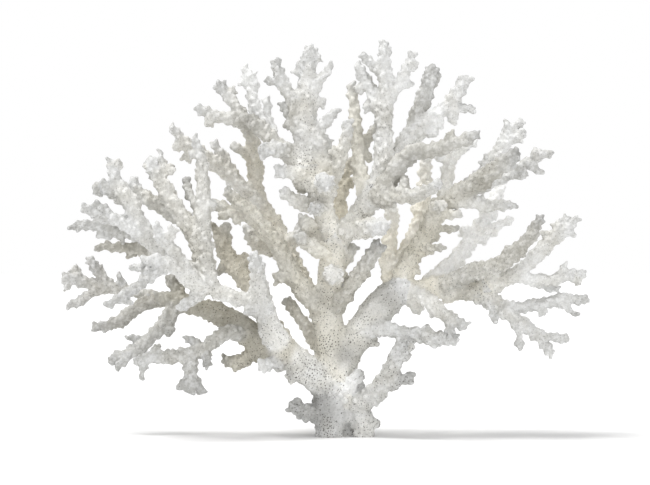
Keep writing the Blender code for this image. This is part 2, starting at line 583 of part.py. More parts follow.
def make_collection(name):
    collection = bpy.data.collections.new(name)
    bpy.context.scene.collection.children.link(collection)
    return collection


def place(across, up, forward):
    """Where a point of the drawing lies, in millimetres of the coral's own frame."""
    shrink = (EYE_DISTANCE - forward) / EYE_DISTANCE
    return Vector((
        EYE_ACROSS + (across - EYE_ACROSS) * shrink,
        -forward,
        EYE_UP + (up - EYE_UP) * shrink - CUT_UP,
    ))


def spread(values, index, count):
    """The value at one point of a route, of values spread evenly from root to tip."""
    position = index / (count - 1) * (len(values) - 1)
    low = min(int(position), len(values) - 2)
    return values[low] + (values[low + 1] - values[low]) * (position - low)


def curve_through(before, start, end, after, t):
    """A point on the smooth curve from start to end, which its two neighbours steer."""
    return 0.5 * (
        2.0 * start
        + (end - before) * t
        + (2.0 * before - 5.0 * start + 4.0 * end - after) * t * t
        + (3.0 * start - before - 3.0 * end + after) * t * t * t
    )


def smooth_route(branch):
    """The branch's centre line as (point, radius) pairs, in millimetres."""
    route, forward, thickness = branch
    count = len(route)
    points = []
    radii = []
    for index, (across, up) in enumerate(route):
        points.append(place(across, up, spread(forward, index, count)))
        radii.append(spread(thickness, index, count) / 2.0 + SKIN)
    points[-1] += (points[-2] - points[-1]).normalized() * radii[-1] * TIP_BACK
    line = [(points[0], radii[0] * ROOT_FLARE)]
    for index in range(count - 1):
        before = points[max(index - 1, 0)]
        after = points[min(index + 2, count - 1)]
        start, end = points[index], points[index + 1]
        steps = max(2, round((end - start).length / ROUTE_STEP))
        for step in range(1, steps + 1):
            t = step / steps
            radius = radii[index] + (radii[index + 1] - radii[index]) * t
            line.append((curve_through(before, start, end, after, t), radius))
    return line


def add_mesh(mesh, body):
    """Adds a mesh's faces to the limb's gathered body."""
    body.from_mesh(mesh)
    bpy.data.meshes.remove(mesh)


def add_tube(line, body):
    """A round tube of changing thickness along the line, with closed ends."""
    curve = bpy.data.curves.new("tube", "CURVE")
    curve.dimensions = "3D"
    curve.bevel_depth = MM
    curve.bevel_resolution = TUBE_RESOLUTION
    curve.use_fill_caps = True
    spline = curve.splines.new("POLY")
    spline.points.add(len(line) - 1)
    for point, (centre, radius) in zip(spline.points, line):
        point.co = (*(centre * MM), 1.0)
        point.radius = radius
    tube = bpy.data.objects.new("tube", curve)
    bpy.context.scene.collection.objects.link(tube)
    depsgraph = bpy.context.evaluated_depsgraph_get()
    mesh = bpy.data.meshes.new_from_object(tube.evaluated_get(depsgraph))
    bpy.data.objects.remove(tube)
    bpy.data.curves.remove(curve)
    add_mesh(mesh, body)


def add_ball(centre, radius, body):
    """A round lump at the end of a branch, or one of its nubs."""
    ball = bmesh.ops.create_icosphere(body, subdivisions=2, radius=radius * MM)
    bmesh.ops.translate(body, verts=ball["verts"], vec=centre * MM)


def add_knob(knob, lines, body):
    """A short stub that grows out of the nearest branch of its limb."""
    across, up, forward, thickness = knob
    centre = place(across, up, forward)
    nearest = min((point for line in lines for point, _ in line), key=lambda point: (point - centre).length)
    radius = thickness / 2.0
    add_tube([(nearest, radius * KNOB_BRIDGE), (centre, radius * KNOB_BRIDGE)], body)
    add_ball(centre, radius, body)


def add_nubs(line, dice, body):
    """Nubs that turn round the branch as they follow each other towards its tip."""
    angle = dice.uniform(0.0, math.tau)
    travelled = NUB_STEP * 0.5
    for (start, radius), (end, _) in zip(line, line[1:]):
        travelled += (end - start).length
        if travelled < NUB_STEP or 2.0 * radius < NUB_THINNEST_BRANCH:
            continue
        travelled = 0.0
        angle += NUB_TURN
        along = (end - start).normalized()
        side = along.orthogonal().normalized()
        outward = side * math.cos(angle) + along.cross(side) * math.sin(angle)
        nub_radius = dice.uniform(*NUB_RADIUS)
        add_ball(start + outward * (radius - nub_radius + NUB_REACH) + along * nub_radius, nub_radius, body)


def evaluated_copy(obj):
    """The object's mesh with its modifiers applied."""
    depsgraph = bpy.context.evaluated_depsgraph_get()
    return bpy.data.meshes.new_from_object(obj.evaluated_get(depsgraph))


def swap_mesh(obj, mesh):
    old = obj.data
    obj.modifiers.clear()
    obj.data = mesh
    bpy.data.meshes.remove(old)


def surface_area(mesh):
    return sum(polygon.area for polygon in mesh.polygons) / MM ** 2


def grow_limb(name, limb, dice, collection):
    """One limb as a single closed skin round all its branches, knobs and nubs."""
    body = bmesh.new()
    lines = [smooth_route(branch) for branch in limb["branches"]]
    for line in lines:
        add_tube(line, body)
        add_ball(*line[-1], body)
        add_nubs(line, dice, body)
    for knob in limb["knobs"]:
        add_knob(knob, lines, body)
    bmesh.ops.remove_doubles(body, verts=body.verts, dist=MERGE_DISTANCE * MM)
    mesh = bpy.data.meshes.new(name)
    body.to_mesh(mesh)
    body.free()
    obj = bpy.data.objects.new(name, mesh)
    collection.objects.link(obj)

    remesh = obj.modifiers.new("skin", "REMESH")
    remesh.mode = "VOXEL"
    remesh.voxel_size = REMESH_VOXEL * MM
    smooth = obj.modifiers.new("soften", "SMOOTH")
    smooth.iterations = SMOOTH_ROUNDS
    swap_mesh(obj, evaluated_copy(obj))

    target = max(FEWEST_TRIANGLES, surface_area(obj.data) * TRIANGLES_PER_AREA)
    fewer = obj.modifiers.new("fewer", "DECIMATE")
    fewer.ratio = target / (2.0 * len(obj.data.polygons))
    fewer.use_collapse_triangulate = True
    swap_mesh(obj, evaluated_copy(obj))
    return obj


def box_of(obj):
    corners = [obj.matrix_world @ vertex.co for vertex in obj.data.vertices]
    low = [min(corner[axis] for corner in corners) for axis in range(3)]
    high = [max(corner[axis] for corner in corners) for axis in range(3)]
    return low, high


def boxes_meet(first, second, margin):
    return all(first[0][axis] < second[1][axis] + margin and second[0][axis] < first[1][axis] + margin
               for axis in range(3))


def swollen_copy(obj, cutters):
    """The limb's form with every face moved out by at least the joint's gap."""
    body = bmesh.new()
    body.from_mesh(obj.data)
    moves = []
    for vertex in body.verts:
        slant = min(vertex.normal.dot(face.normal) for face in vertex.link_faces)
        moves.append(vertex.normal * JOINT_GAP * MM / max(slant, STEEPEST_SLANT))
    for vertex, move in zip(body.verts, moves):
        vertex.co += move
    mesh = bpy.data.meshes.new("room_for_" + obj.name)
    body.to_mesh(mesh)
    body.free()
    cutter = bpy.data.objects.new(mesh.name, mesh)
    cutters.objects.link(cutter)
    return cutter


def cut_away(obj, cutter):
    cut = obj.modifiers.new("cut", "BOOLEAN")
    cut.operation = "DIFFERENCE"
    cut.solver = "MANIFOLD"
    cut.object = cutter
    swap_mesh(obj, evaluated_copy(obj))


def keep_largest_island(obj):
    """Drops the crumbs that a cut leaves on a neighbour's far side."""
    body = bmesh.new()
    body.from_mesh(obj.data)
    islands = []
    unseen = set(body.faces)
    while unseen:
        waiting = [unseen.pop()]
        island = []
        while waiting:
            face = waiting.pop()
            island.append(face)
            for edge in face.edges:
                for neighbour in edge.link_faces:
                    if neighbour in unseen:
                        unseen.remove(neighbour)
                        waiting.append(neighbour)
        islands.append(island)
    islands.sort(key=lambda island: -sum(face.calc_area() for face in island))
    crumbs = [face for island in islands[1:] for face in island]
    bmesh.ops.delete(body, geom=crumbs, context="FACES")
    bmesh.ops.triangulate(body, faces=body.faces)
    body.to_mesh(obj.data)
    body.free()


def make_ground_cutter(cutters):
    """What lies below the flat cut at the foot."""
    bpy.ops.mesh.primitive_cube_add(size=CUT_BOX_SIZE * MM, location=(0, 0, -CUT_BOX_SIZE * MM / 2.0))
    ground = bpy.context.object
    ground.name = "below_the_cut"
    for collection in list(ground.users_collection):
        collection.objects.unlink(ground)
    cutters.objects.link(ground)
    return ground


def paint(obj, limb):
    """Bone white in front, and a warmer, duller cream in the depth of the coral."""
    forwards = [value for branch in limb["branches"] for value in branch[1]]
    middle = sum(forwards) / len(forwards)
    share = (middle - DEEPEST_FORWARD) / (FRONT_FORWARD - DEEPEST_FORWARD)
    share = min(max(share, 0.0), 1.0)
    colour = [inner + (tip - inner) * share for inner, tip in zip(INNER_COLOUR, TIP_COLOUR)]
    material = bpy.data.materials.new(obj.name)
    material.use_nodes = True
    shader = material.node_tree.nodes["Principled BSDF"]
    shader.inputs["Base Color"].default_value = (*colour, 1.0)
    shader.inputs["Roughness"].default_value = ROUGHNESS
    shader.inputs["Metallic"].default_value = 0.0
    obj.data.materials.clear()
    obj.data.materials.append(material)


def build():
    clear_scene()
    coral = make_collection("branching_coral")
    cutters = make_collection("cutters")
    dice = random.Random(NUB_SEED)
    ground = make_ground_cutter(cutters)
    grown = []
    for name, limb in LIMBS.items():
        obj = grow_limb(name, limb, dice, coral)
        if name == "foot":
            cut_away(obj, ground)
        box = box_of(obj)
        own_room = swollen_copy(obj, cutters)
        for neighbour_box, room in grown:
            if boxes_meet(box, neighbour_box, JOINT_GAP * MM):
                cut_away(obj, room)
        keep_largest_island(obj)
        paint(obj, limb)
        grown.append((box, own_room))
    for cutter in cutters.objects:
        cutter.hide_render = True
        cutter.display_type = "WIRE"


build()
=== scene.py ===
# Branching coral: one bleached skeleton with cup-covered branches, standing on its cut foot.
# The branches are drawn in millimetres as the camera sees them, fused into one skin, and the
# skin is then parted at its forks, so that each branch is a piece of its own.

import json
import math
import random

import bmesh
import bpy
import numpy as np
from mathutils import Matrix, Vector, kdtree, noise


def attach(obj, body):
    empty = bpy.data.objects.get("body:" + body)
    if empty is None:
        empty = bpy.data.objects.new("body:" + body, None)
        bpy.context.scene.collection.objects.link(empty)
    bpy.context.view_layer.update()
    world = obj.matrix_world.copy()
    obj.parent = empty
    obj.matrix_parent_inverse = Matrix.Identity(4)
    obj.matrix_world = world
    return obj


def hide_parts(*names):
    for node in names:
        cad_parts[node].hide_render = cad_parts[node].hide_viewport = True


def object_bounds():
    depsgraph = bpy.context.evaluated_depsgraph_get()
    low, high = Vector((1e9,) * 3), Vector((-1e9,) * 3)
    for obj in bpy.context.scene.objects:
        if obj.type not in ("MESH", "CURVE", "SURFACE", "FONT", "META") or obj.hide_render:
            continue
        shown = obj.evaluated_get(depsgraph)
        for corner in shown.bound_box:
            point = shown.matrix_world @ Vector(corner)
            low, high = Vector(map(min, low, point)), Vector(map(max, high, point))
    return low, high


mm = 0.001

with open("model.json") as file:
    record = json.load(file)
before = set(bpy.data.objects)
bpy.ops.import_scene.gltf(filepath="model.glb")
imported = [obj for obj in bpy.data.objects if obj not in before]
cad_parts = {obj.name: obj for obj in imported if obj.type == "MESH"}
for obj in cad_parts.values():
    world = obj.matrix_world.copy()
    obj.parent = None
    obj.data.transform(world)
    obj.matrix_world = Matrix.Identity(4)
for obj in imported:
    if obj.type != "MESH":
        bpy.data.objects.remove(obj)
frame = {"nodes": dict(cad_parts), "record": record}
cadLow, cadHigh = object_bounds()
print("frame loaded:", len(frame["nodes"]), "branches")

# Where the drawing is seen from, and how far above its zero the foot is cut, in mm
drawing = {"distance": 1200.0, "across": -10.0, "up": 98.75, "cutUp": 2.0}

# A branch is a route of (across, up) points, its distance forward of the foot's middle and its
# thickness. The last two are spread evenly from root to tip. A knob is (across, up, forward,
# thickness). A tone is how light the limb's bone is painted, and how warm, from cool white to
# beige: partly the bone's own colour, and partly painted shade, darker and warmer on limbs that
# lie under or behind others, with painted light (a tone above 1) lifting a few back limbs.
# Each limb grows out of those above it.
coralLimbs = {
    "foot": {"tone": (0.45, 0.1), "branches": [
        ([(-7.5, -4), (-7.5, 6), (-6.5, 17), (-3, 28)], (5, 4, 2, 0), (14, 17, 21, 21)),
        ([(9.5, -4), (9, 6), (5, 17), (0, 28)], (4, 3, 1, 0), (9, 12, 17, 19)),
        ([(0, -4), (-1, 8), (-2, 20), (-3, 28)], (-7, -6, -3, 0), (20, 20, 22, 21)),
        ([(-9, 12.5), (-16.5, 13.5), (-26.3, 17)], (3, 6, 8), (10, 9.5, 8)),
        ([(-1, 23), (2.5, 28), (7.4, 34.3)], (5, 9, 13), (9, 7.6, 5.8)),
    ], "knobs": [(14.3, 9, 3, 6), (-12.5, 27.5, 6, 8), (-7, 25.5, 8.5, 8), (-2, 20.5, 8, 7)]},
    "trunk": {"tone": (0.6, 0.65), "branches": [
        ([(-3.5, 22), (-6, 37.5), (-7.5, 52.5), (-8.5, 67.5), (-6.5, 85), (-4.8, 97), (-4, 105)],
         (0, 0, 1, 2, 3, 4, 5), (21, 20, 17, 14, 15, 14, 12)),
        ([(-6, 82), (-6, 83)], (5, 22), (12, 10)),
        ([(-5, 90), (-18.5, 98.5), (-23, 102)], (5, 14, 20), (9, 7.5, 6)),
        ([(-4, 87), (0.5, 92), (4.3, 96.5)], (3, -2, -6), (10, 8.5, 6.5)),
        ([(-4.5, 97.5), (-12.5, 102.5), (-21, 109.5)], (2, -10, -24), (12, 11, 8)),
        ([(-6, 44), (-14, 49), (-18.5, 56), (-24, 62.5), (-29.5, 70.5)],
         (-1, -9, -14, -19, -25), (9, 8.5, 7.5, 6.2, 5)),
    ], "knobs": [(0, 81, 4, 5), (-14.5, 60, 3, 5)]},
    "trunk_back_branch": {"tone": (0.45, 0.6), "branches": [
        ([(-7, 58), (-8, 66), (-8, 75), (-6, 84)], (-2, -16, -29, -38), (10, 9, 7.5, 5.5)),
    ]},
    "trunk_side_branch": {"tone": (0.3, 0.5), "branches": [
        ([(-5, 66), (2.5, 76), (9, 85), (13.5, 92), (16, 99)],
         (5, 9, 10, 11, 12), (10, 8.6, 8.4, 8, 6)),
        ([(12, 90), (16, 94), (20.5, 97)], (11, 13, 15), (6, 5.5, 4.5)),
    ]},
    "left_front_limb": {"tone": (0.65, 0.2), "branches": [
        ([(-5, 24), (-20, 36), (-32.5, 47.5), (-38.5, 59), (-41.5, 71), (-43.5, 82.5), (-45.5, 92)],
         (0, 8, 16, 22, 26, 30, 33), (19, 16, 14, 12.5, 10.5, 8.5, 6)),
        ([(-26, 42), (-32, 40), (-42, 37.2)], (12, 17, 22), (9.5, 7.6, 6)),
    ], "knobs": [(-33.5, 36, 13, 5), (-26.5, 31, 9, 6), (-48, 64, 24, 4.5)]},
    "left_limb_back_branch": {"tone": (0.45, 0.6), "branches": [
        ([(-25, 41), (-29, 47), (-33, 55), (-37, 63)], (10, -6, -20, -30), (10, 8.5, 7.5, 5.5)),
    ]},
    "left_reach": {"tone": (0.65, 0.2), "branches": [
        ([(-41, 68), (-48, 70), (-55, 71), (-69, 76.5), (-75, 78.5), (-82.5, 85), (-90, 89),
          (-101, 89.5)],
         (25, 26, 26, 28, 31, 36, 41, 45), (10, 8.5, 8, 9, 9.5, 10, 8, 5.5)),
        ([(-92, 89), (-98.5, 87.5), (-107, 85)], (41, 39, 33), (6, 5.5, 4.5)),
        ([(-69, 76), (-76.5, 70), (-82.5, 65)], (28, 31, 33), (8, 6.5, 5)),
        ([(-77.5, 81), (-86.5, 94), (-89, 98.5), (-92.5, 102.5), (-94.5, 107)],
         (33, 37, 38, 39, 40), (9, 8, 7, 6.5, 5)),
    ], "knobs": [(-86, 104.5, 38, 5)]},
    "left_low_finger": {"tone": (0.35, 0.05), "branches": [
        ([(-86, 88.5), (-97, 82.3), (-104, 76.5), (-111.5, 72), (-119, 67)],
         (39, 44, 46, 48, 50), (7, 6.2, 5.6, 5.2, 4.4)),
    ], "knobs": [(-100, 84.5, 45, 4), (-109, 69, 48, 4)]},
    "left_tall_branch": {"tone": (0.5, 0.3), "branches": [
        ([(-68.5, 76), (-69.5, 90), (-71, 100), (-71, 112.5), (-71, 127.5), (-72, 140),
          (-75.5, 151.5)],
         (27, 24, 22, 20, 18, 16, 15), (11, 10, 9.5, 9, 8, 6.5, 5)),
        ([(-71, 111), (-76, 120), (-78.5, 125), (-79.5, 131)], (19, 14, 11, 8), (6, 5.5, 5, 4.2)),
    ], "knobs": [(-66, 118, 19, 4.5), (-76.5, 143, 15, 4)]},
    "left_tall_back_branch": {"tone": (0.45, 0.6), "branches": [
        ([(-69.5, 84), (-70, 90), (-71, 98), (-71, 106)], (22, 9, -3, -12), (8, 7.5, 6.5, 5)),
    ]},
    "left_fork_branch": {"tone": (0.55, 0.4), "branches": [
        ([(-70, 90), (-74, 100), (-77.5, 106), (-82.5, 112.5), (-87.2, 120), (-91, 127.5),
          (-95, 134), (-98, 140)],
         (22, 20, 19, 18, 17, 16, 15, 15), (10.5, 10, 10, 9.6, 9.2, 8.6, 7.8, 6)),
        ([(-91.5, 128), (-91, 136), (-92.5, 145)], (15, 14, 12), (6, 5, 4.2)),
        ([(-81, 110), (-90, 116), (-98.5, 120.5), (-104, 124.5), (-106.3, 130)],
         (16, 9, 6, 5, 5), (9, 8.5, 8, 7.5, 6)),
    ], "knobs": [(-98.8, 136.5, 15, 4), (-87, 135, 15, 4.5)]},
    "left_outer_branch": {"tone": (0.6, 0.2), "branches": [
        ([(-70, 78), (-80, 86), (-92.5, 95), (-97.5, 100), (-103, 107.5), (-105.5, 115),
          (-109, 121.5), (-113.5, 127.5), (-116, 134), (-117, 140)],
         (25, 22, 22, 23, 24, 25, 25, 25, 25, 25), (11, 10, 10, 10, 9.5, 9, 8.5, 7.5, 6.5, 5.2)),
        ([(-109, 119.5), (-117, 125), (-123, 127.8)], (23, 17, 12), (8.5, 7.5, 5.5)),
    ], "knobs": [(-113, 138, 25, 4.6), (-123.5, 124.5, 13, 4.5)]},
    "left_outer_pair": {"tone": (0.55, 0.0), "branches": [
        ([(-103.5, 105), (-109, 107.5), (-116, 111), (-122.5, 116), (-126, 117.5)],
         (24, 26, 28, 29, 30), (8, 7.5, 6.5, 6, 4.5)),
        ([(-116, 110), (-122.5, 111.5), (-127.5, 114), (-131, 118)],
         (28, 29, 29, 29), (6, 5.5, 5.2, 4.2)),
    ]},
    "left_outer_low_twig": {"tone": (0.35, 0.1), "branches": [
        ([(-102, 101), (-110, 104.5), (-118.5, 107), (-125, 107.5), (-132.5, 107), (-137, 106.5)],
         (21, 18, 17, 17, 18, 18), (7.5, 6.5, 6.2, 6, 5.5, 4.2)),
    ], "knobs": [(-118, 102, 15, 5), (-121.5, 103, 15, 4.5), (-112, 101.5, 16, 5)]},
    "left_shaded_twig": {"tone": (0.15, 0.7), "branches": [
        ([(-92.5, 93), (-102.5, 95.5), (-110, 96.5), (-117.5, 96.5), (-125, 96.5)],
         (21, 13, 9, 7, 5), (8, 6.5, 6, 5.5, 4.5)),
    ], "knobs": [(-107, 93, 10, 4.5)]},
    "low_left_limb": {"tone": (0.1, 0.9), "branches": [
        ([(-31, 45), (-39.5, 46), (-47.5, 52.5), (-57.5, 60), (-67.5, 64.8), (-77.5, 67.2),
          (-87.5, 69.5), (-97.5, 71.5)],
         (14, 4, -3, -7, -9, -11, -13, -16), (15, 15.5, 15, 13, 11.5, 10, 9, 7.5)),
        ([(-40, 46), (-52.5, 39.5), (-60.5, 40)], (2, -5, -8), (9, 7, 5.4)),
        ([(-78, 67), (-83.5, 74), (-86.5, 82)], (-11, -15, -17), (8, 7.5, 6.5)),
    ], "knobs": [(-54.5, 37, -6, 5), (-62, 66, -7, 5)]},
    "low_left_finger": {"tone": (0.15, 0.3), "branches": [
        ([(-96, 70), (-104, 66), (-112, 60.5), (-119, 57.2), (-126.3, 56.3)],
         (-15, -13, -12, -12, -12), (8, 7.4, 7, 6.2, 4.8)),
    ], "knobs": [(-113, 57.5, -12, 4)]},
    "far_left_fan": {"tone": (0.4, 0.2), "branches": [
        ([(-96.5, 72), (-105, 74), (-110, 75), (-117.5, 76), (-125, 77.5), (-132.5, 80),
          (-140.5, 81.5)],
         (-17, -20, -21, -22, -22, -22, -22), (8, 7.2, 7, 7, 6.8, 6.8, 6.4)),
        ([(-117, 76.5), (-124, 86), (-128, 91)], (-22, -21, -20), (7, 6.4, 5)),
        ([(-110, 75), (-113.5, 83)], (-21, -20), (5.5, 4.4)),
        ([(-121, 76.5), (-128.5, 72), (-132.5, 69.5), (-138, 67)],
         (-22, -20, -19, -18), (6.4, 6, 5.8, 4.8)),
    ], "knobs": [(-134.5, 85.5, -22, 4.5), (-138.5, 76.5, -22, 4.5)]},
    "low_left_drop": {"tone": (0.35, 0.2), "branches": [
        ([(-83.5, 67.5), (-88.5, 61), (-94, 54), (-100, 48.5), (-108.5, 43.5), (-118, 39)],
         (-12, -8, -6, -6, -6, -6), (9, 8.4, 7.8, 7.2, 6.4, 5)),
        ([(-107, 44), (-110, 40), (-114, 36)], (-6, -4, -3), (5.5, 5, 4.2)),
        ([(-98, 49.5), (-109, 51)], (-6, -8), (5.5, 4.2)),
    ], "knobs": [(-88, 54.5, -5, 4.5), (-102, 43, -6, 4.5)]},
    "bottom_left_branch": {"tone": (0.4, 0.2), "branches": [
        ([(-46, 51), (-57.5, 54), (-63.5, 51), (-70, 46), (-77.5, 43), (-87.5, 41.3), (-97.5, 41),
          (-105, 39)],
         (-1, 3, 5, 6, 7, 8, 8, 8), (9, 7.8, 7.6, 7.6, 7.6, 7.4, 7, 5.6)),
        ([(-72, 46), (-80, 52)], (6, 5), (6, 4.6)),
        ([(-70, 46), (-68.5, 36.5)], (6, 9), (6.5, 5)),
        ([(-77.5, 43), (-77, 32.5), (-81.5, 26.5)], (7, 8, 9), (7.5, 7, 6)),
        ([(-77, 34), (-76.5, 24)], (8, 10), (6.5, 5.4)),
        ([(-77, 33.5), (-71.8, 24.5)], (8, 5), (6.5, 5.4)),
        ([(-100, 41), (-101.8, 31.2)], (8, 9), (6, 4.8)),
    ], "knobs": [(-95, 45.5, 8, 4.5)]},
    "left_hidden_branch": {"tone": (0.3, 0.9), "branches": [
        ([(-39, 60), (-44, 72), (-53.5, 85), (-59, 92.5), (-61, 100), (-59.5, 108)],
         (20, 5, -10, -14, -16, -18), (11, 11, 10.5, 9.5, 8.5, 6)),
        ([(-60.5, 98), (-64, 104), (-68.5, 109)], (-15, -16, -16), (6.5, 6, 4.6)),
        ([(-56, 88), (-64, 84.5)], (-12, -14), (6, 4.8)),
    ], "knobs": [(-50, 90, -12, 6)]},
    "centre_left_branch": {"tone": (0.6, 0.65), "branches": [
        ([(-7, 60), (-20, 74), (-27.5, 85.5), (-32.5, 95), (-37.5, 102.5), (-45, 111.5),
          (-52.5, 118), (-59.5, 125.5)],
         (2, 1, 0, 0, 0, 0, 0, 0), (12, 11.5, 10.5, 9.8, 9.2, 8.6, 7.6, 5.6)),
        ([(-45, 110.5), (-55, 113.5), (-61.5, 117), (-67.5, 118.5)],
         (-1, -7, -9, -10), (7, 6.5, 6, 5)),
    ], "knobs": [(-33, 81, 1, 6), (-61, 112.5, -8, 5), (-54, 110, -6, 5)]},
    "back_left_branch": {"tone": (0.7, 0.7), "branches": [
        ([(-8, 63), (-17, 73), (-25, 85), (-31, 97), (-36, 107.5), (-41.5, 116), (-44.5, 125),
          (-45, 135), (-46, 146), (-48.5, 159)],
         (-1, -13, -21, -26, -29, -31, -31, -30, -28, -22),
         (10, 10, 11, 12, 11, 10, 9, 8.5, 8.5, 7)),
        ([(-30, 96), (-38, 97), (-44, 100), (-48.5, 106)], (-25, -21, -19, -18), (10, 12, 11, 7.5)),
        ([(-31, 96.5), (-26.5, 99.5), (-22, 104.5)], (-25, -25, -24), (10, 9, 7.5)),
        ([(-46, 142), (-56.5, 147)], (-28, -24), (6.5, 5)),
    ], "knobs": [(-50, 120, -30, 5)]},
    "back_left_diagonal": {"tone": (0.7, 0.35), "branches": [
        ([(-44, 119), (-52.5, 127.5), (-61.5, 135), (-70, 141.5), (-79, 147.5), (-87, 156.5)],
         (-30, -27, -23, -20, -17, -15), (9.5, 8.5, 8, 7.5, 7, 5.2)),
        ([(-53, 128.5), (-58.5, 138.5), (-62.5, 144), (-66, 149)],
         (-27, -26, -25, -24), (6.5, 5.8, 5.2, 4.4)),
    ], "knobs": [(-84.5, 146.5, -16, 5), (-79, 141.5, -18, 5)]},
    "upper_left_limb": {"tone": (0.7, 0.5), "branches": [
        ([(-5, 101), (-9.3, 110.5), (-11.5, 118.5), (-13.5, 127), (-19.5, 134), (-20.5, 142)],
         (4, 6, 8, 10, 10, 10), (12.5, 12, 13, 14, 13.5, 12.5)),
        ([(-19, 132.5), (-33.3, 134)], (11, 20), (9.5, 7)),
        ([(-9, 115), (-24, 119.5), (-31.3, 124.8)], (8, 12, 12), (9.5, 7.5, 5.4)),
        ([(-9, 117), (-15.5, 115)], (9, 25), (8, 6.5)),
        ([(-12, 126), (-10, 129)], (10, 38), (12, 9.5)),
    ], "knobs": [(-8, 137.5, 11, 7), (-12, 141.5, 8, 8), (-21.5, 128, 8, 8)]},
    "crown_spire": {"tone": (0.6, 0.2), "branches": [
        ([(-20.3, 140), (-20, 155), (-18.5, 167.5), (-19, 177.5), (-18.2, 186), (-17.2, 194.6)],
         (10, 8, 7, 6, 5, 5), (12.5, 11.5, 10.5, 9.6, 9.2, 8.6)),
        ([(-19, 178), (-21, 183.5), (-22.5, 188.5)], (6, 6, 7), (7, 6.5, 6)),
        ([(-18.5, 169), (-12.5, 180), (-9, 184), (-6.5, 188)], (7, 8, 9, 9), (7, 6, 5.2, 4.2)),
        ([(-19.5, 145), (-11.5, 157.5), (-4, 165)], (9, 12, 14), (8, 6.2, 4.6)),
    ], "knobs": [(-24.5, 184.5, 6, 4), (-23.5, 172, 7, 6.5), (-12, 168.5, 8, 4.5),
        (-9.5, 147.5, 10, 7), (-13.5, 190.5, 5, 3.6)]},
    "crown_left_prong": {"tone": (0.5, 0.25), "branches": [
        ([(-20.5, 147), (-26, 167.5), (-28.5, 173.5), (-31.5, 179), (-34, 185), (-35, 190)],
         (9, 8, 8, 8, 8, 8), (9, 7.6, 7, 6.5, 6, 4.8)),
        ([(-31, 178), (-39.5, 180)], (8, 9), (5.6, 4.2)),
        ([(-22.5, 154), (-28.5, 163.5), (-32, 168.5)], (7, 0, -5), (7, 5.5, 4.4)),
    ], "knobs": [(-28.5, 158, 6, 5)]},
    "upper_left_fan": {"tone": (0.5, 0.35), "branches": [
        ([(-19, 134), (-27.5, 142.5), (-35, 148.5), (-41.5, 155), (-47.5, 159), (-55, 160.5),
          (-62.5, 161.5), (-69, 164), (-74.5, 166)],
         (10, 10, 10, 10, 10, 11, 12, 12, 12), (11, 10, 9.2, 8.6, 8, 7.2, 6.5, 6, 4.8)),
        ([(-27.5, 144), (-35, 145.5), (-42, 144)], (11, 19, 26), (9, 8.4, 6.4)),
        ([(-48, 158), (-53.5, 165), (-56.5, 169.5), (-60.5, 174), (-63, 178)],
         (10, 8, 7, 6, 6), (7.5, 7, 7, 7, 6.4)),
    ], "knobs": [(-68.5, 158.5, 12, 4.5), (-56, 174.5, 6, 4.5)]},
    "upper_left_spire": {"tone": (0.95, 0.0), "branches": [
        ([(-35, 148), (-41.5, 157.5), (-44.5, 164), (-46, 170), (-47, 176), (-48.5, 182),
          (-50, 187)],
         (9, 2, 0, -1, -2, -2, -2), (8.5, 7.6, 7, 6.6, 6.2, 5.6, 4.5)),
        ([(-36.5, 151), (-38, 159), (-39, 165), (-39, 171)], (6, -3, -7, -10), (7, 5.6, 5.2, 4.6)),
    ], "knobs": [(-45.8, 182.5, -2, 3.8), (-44.6, 178.5, -2, 4), (-50.8, 179, -2, 3.8)]},
    "crown_middle_twig": {"tone": (0.6, 0.4), "branches": [
        ([(-9, 121), (-6, 130), (-3.4, 137.5), (-0.9, 146), (0.8, 153.5), (1.8, 159.5)],
         (9, 15, 17, 18, 18, 18), (9, 7.8, 7.2, 6.8, 6.2, 4.8)),
    ], "knobs": [(-5.5, 144, 17, 4)]},
    "fork_back_branch": {"tone": (0.5, 1.0), "branches": [
        ([(-3.5, 106), (-3, 120), (-1, 131), (2, 139)], (0, -11, -19, -27), (10, 9, 8, 6)),
    ], "knobs": [(2.5, 128, -15, 4.5)]},
    "upper_right_limb": {"tone": (0.6, 0.4), "branches": [
        ([(-2.5, 101), (2.5, 107.5), (7.5, 113), (11, 118.5), (16, 122.5), (18, 127)],
         (4, 6, 8, 11, 13, 14), (12, 11.5, 12, 12.5, 13.5, 11)),
        ([(0, 104.5), (8.5, 106.3), (19.5, 106.5)], (7, 18, 30), (11, 11.5, 9)),
    ], "knobs": [(23, 119, 12, 7)]},
    "crown_slim_branch": {"tone": (0.7, 0.65), "branches": [
        ([(11, 121), (7.5, 135), (6.5, 145), (5.5, 157.5), (4.5, 166), (3.5, 172.5), (3, 178.5)],
         (11, 3, 0, -3, -5, -6, -7), (9.5, 8, 7.5, 7, 6.2, 5.4, 4.2)),
        ([(6.5, 142), (15, 157)], (0, -20), (7, 5)),
    ], "knobs": [(12, 141, -4, 4.5)]},
    "crown_tall_branch": {"tone": (0.65, 0.15), "branches": [
        ([(16, 122), (19, 137.5), (19.4, 145), (19.3, 157.5), (19.5, 170), (20, 182.5),
          (19.5, 198)],
         (13, 12, 12, 11, 10, 10, 10), (11, 11, 10.4, 9.4, 8.8, 7.6, 6)),
        ([(19.5, 181.5), (13, 189), (8.6, 192.6)], (10, 10, 10), (6.2, 5.6, 5)),
        ([(20.5, 168), (27.5, 178.5), (31, 186.5), (34, 193.5)], (10, 9, 8, 8), (7, 6, 5.4, 4.4)),
        ([(19.5, 159.5), (14.8, 171.5), (11.2, 179), (6, 187.5)],
         (10, 6, 5, 5), (8.6, 7.6, 7.2, 5.6)),
    ], "knobs": [(34.8, 186.5, 8, 4), (31.5, 178, 8, 4.5), (7, 175.5, 4, 4.5), (11, 167, 5, 5)]},
    "right_spire": {"tone": (0.35, 0.2), "branches": [
        ([(20.5, 134), (25, 141), (28.5, 146.5), (32, 152), (35, 159.5), (38.7, 168.5),
          (41.7, 176.5), (43.6, 187)],
         (11, 6, 3, 1, 0, 0, 0, 0), (9.5, 8.6, 8.8, 9, 8.8, 8.6, 8.2, 6.4)),
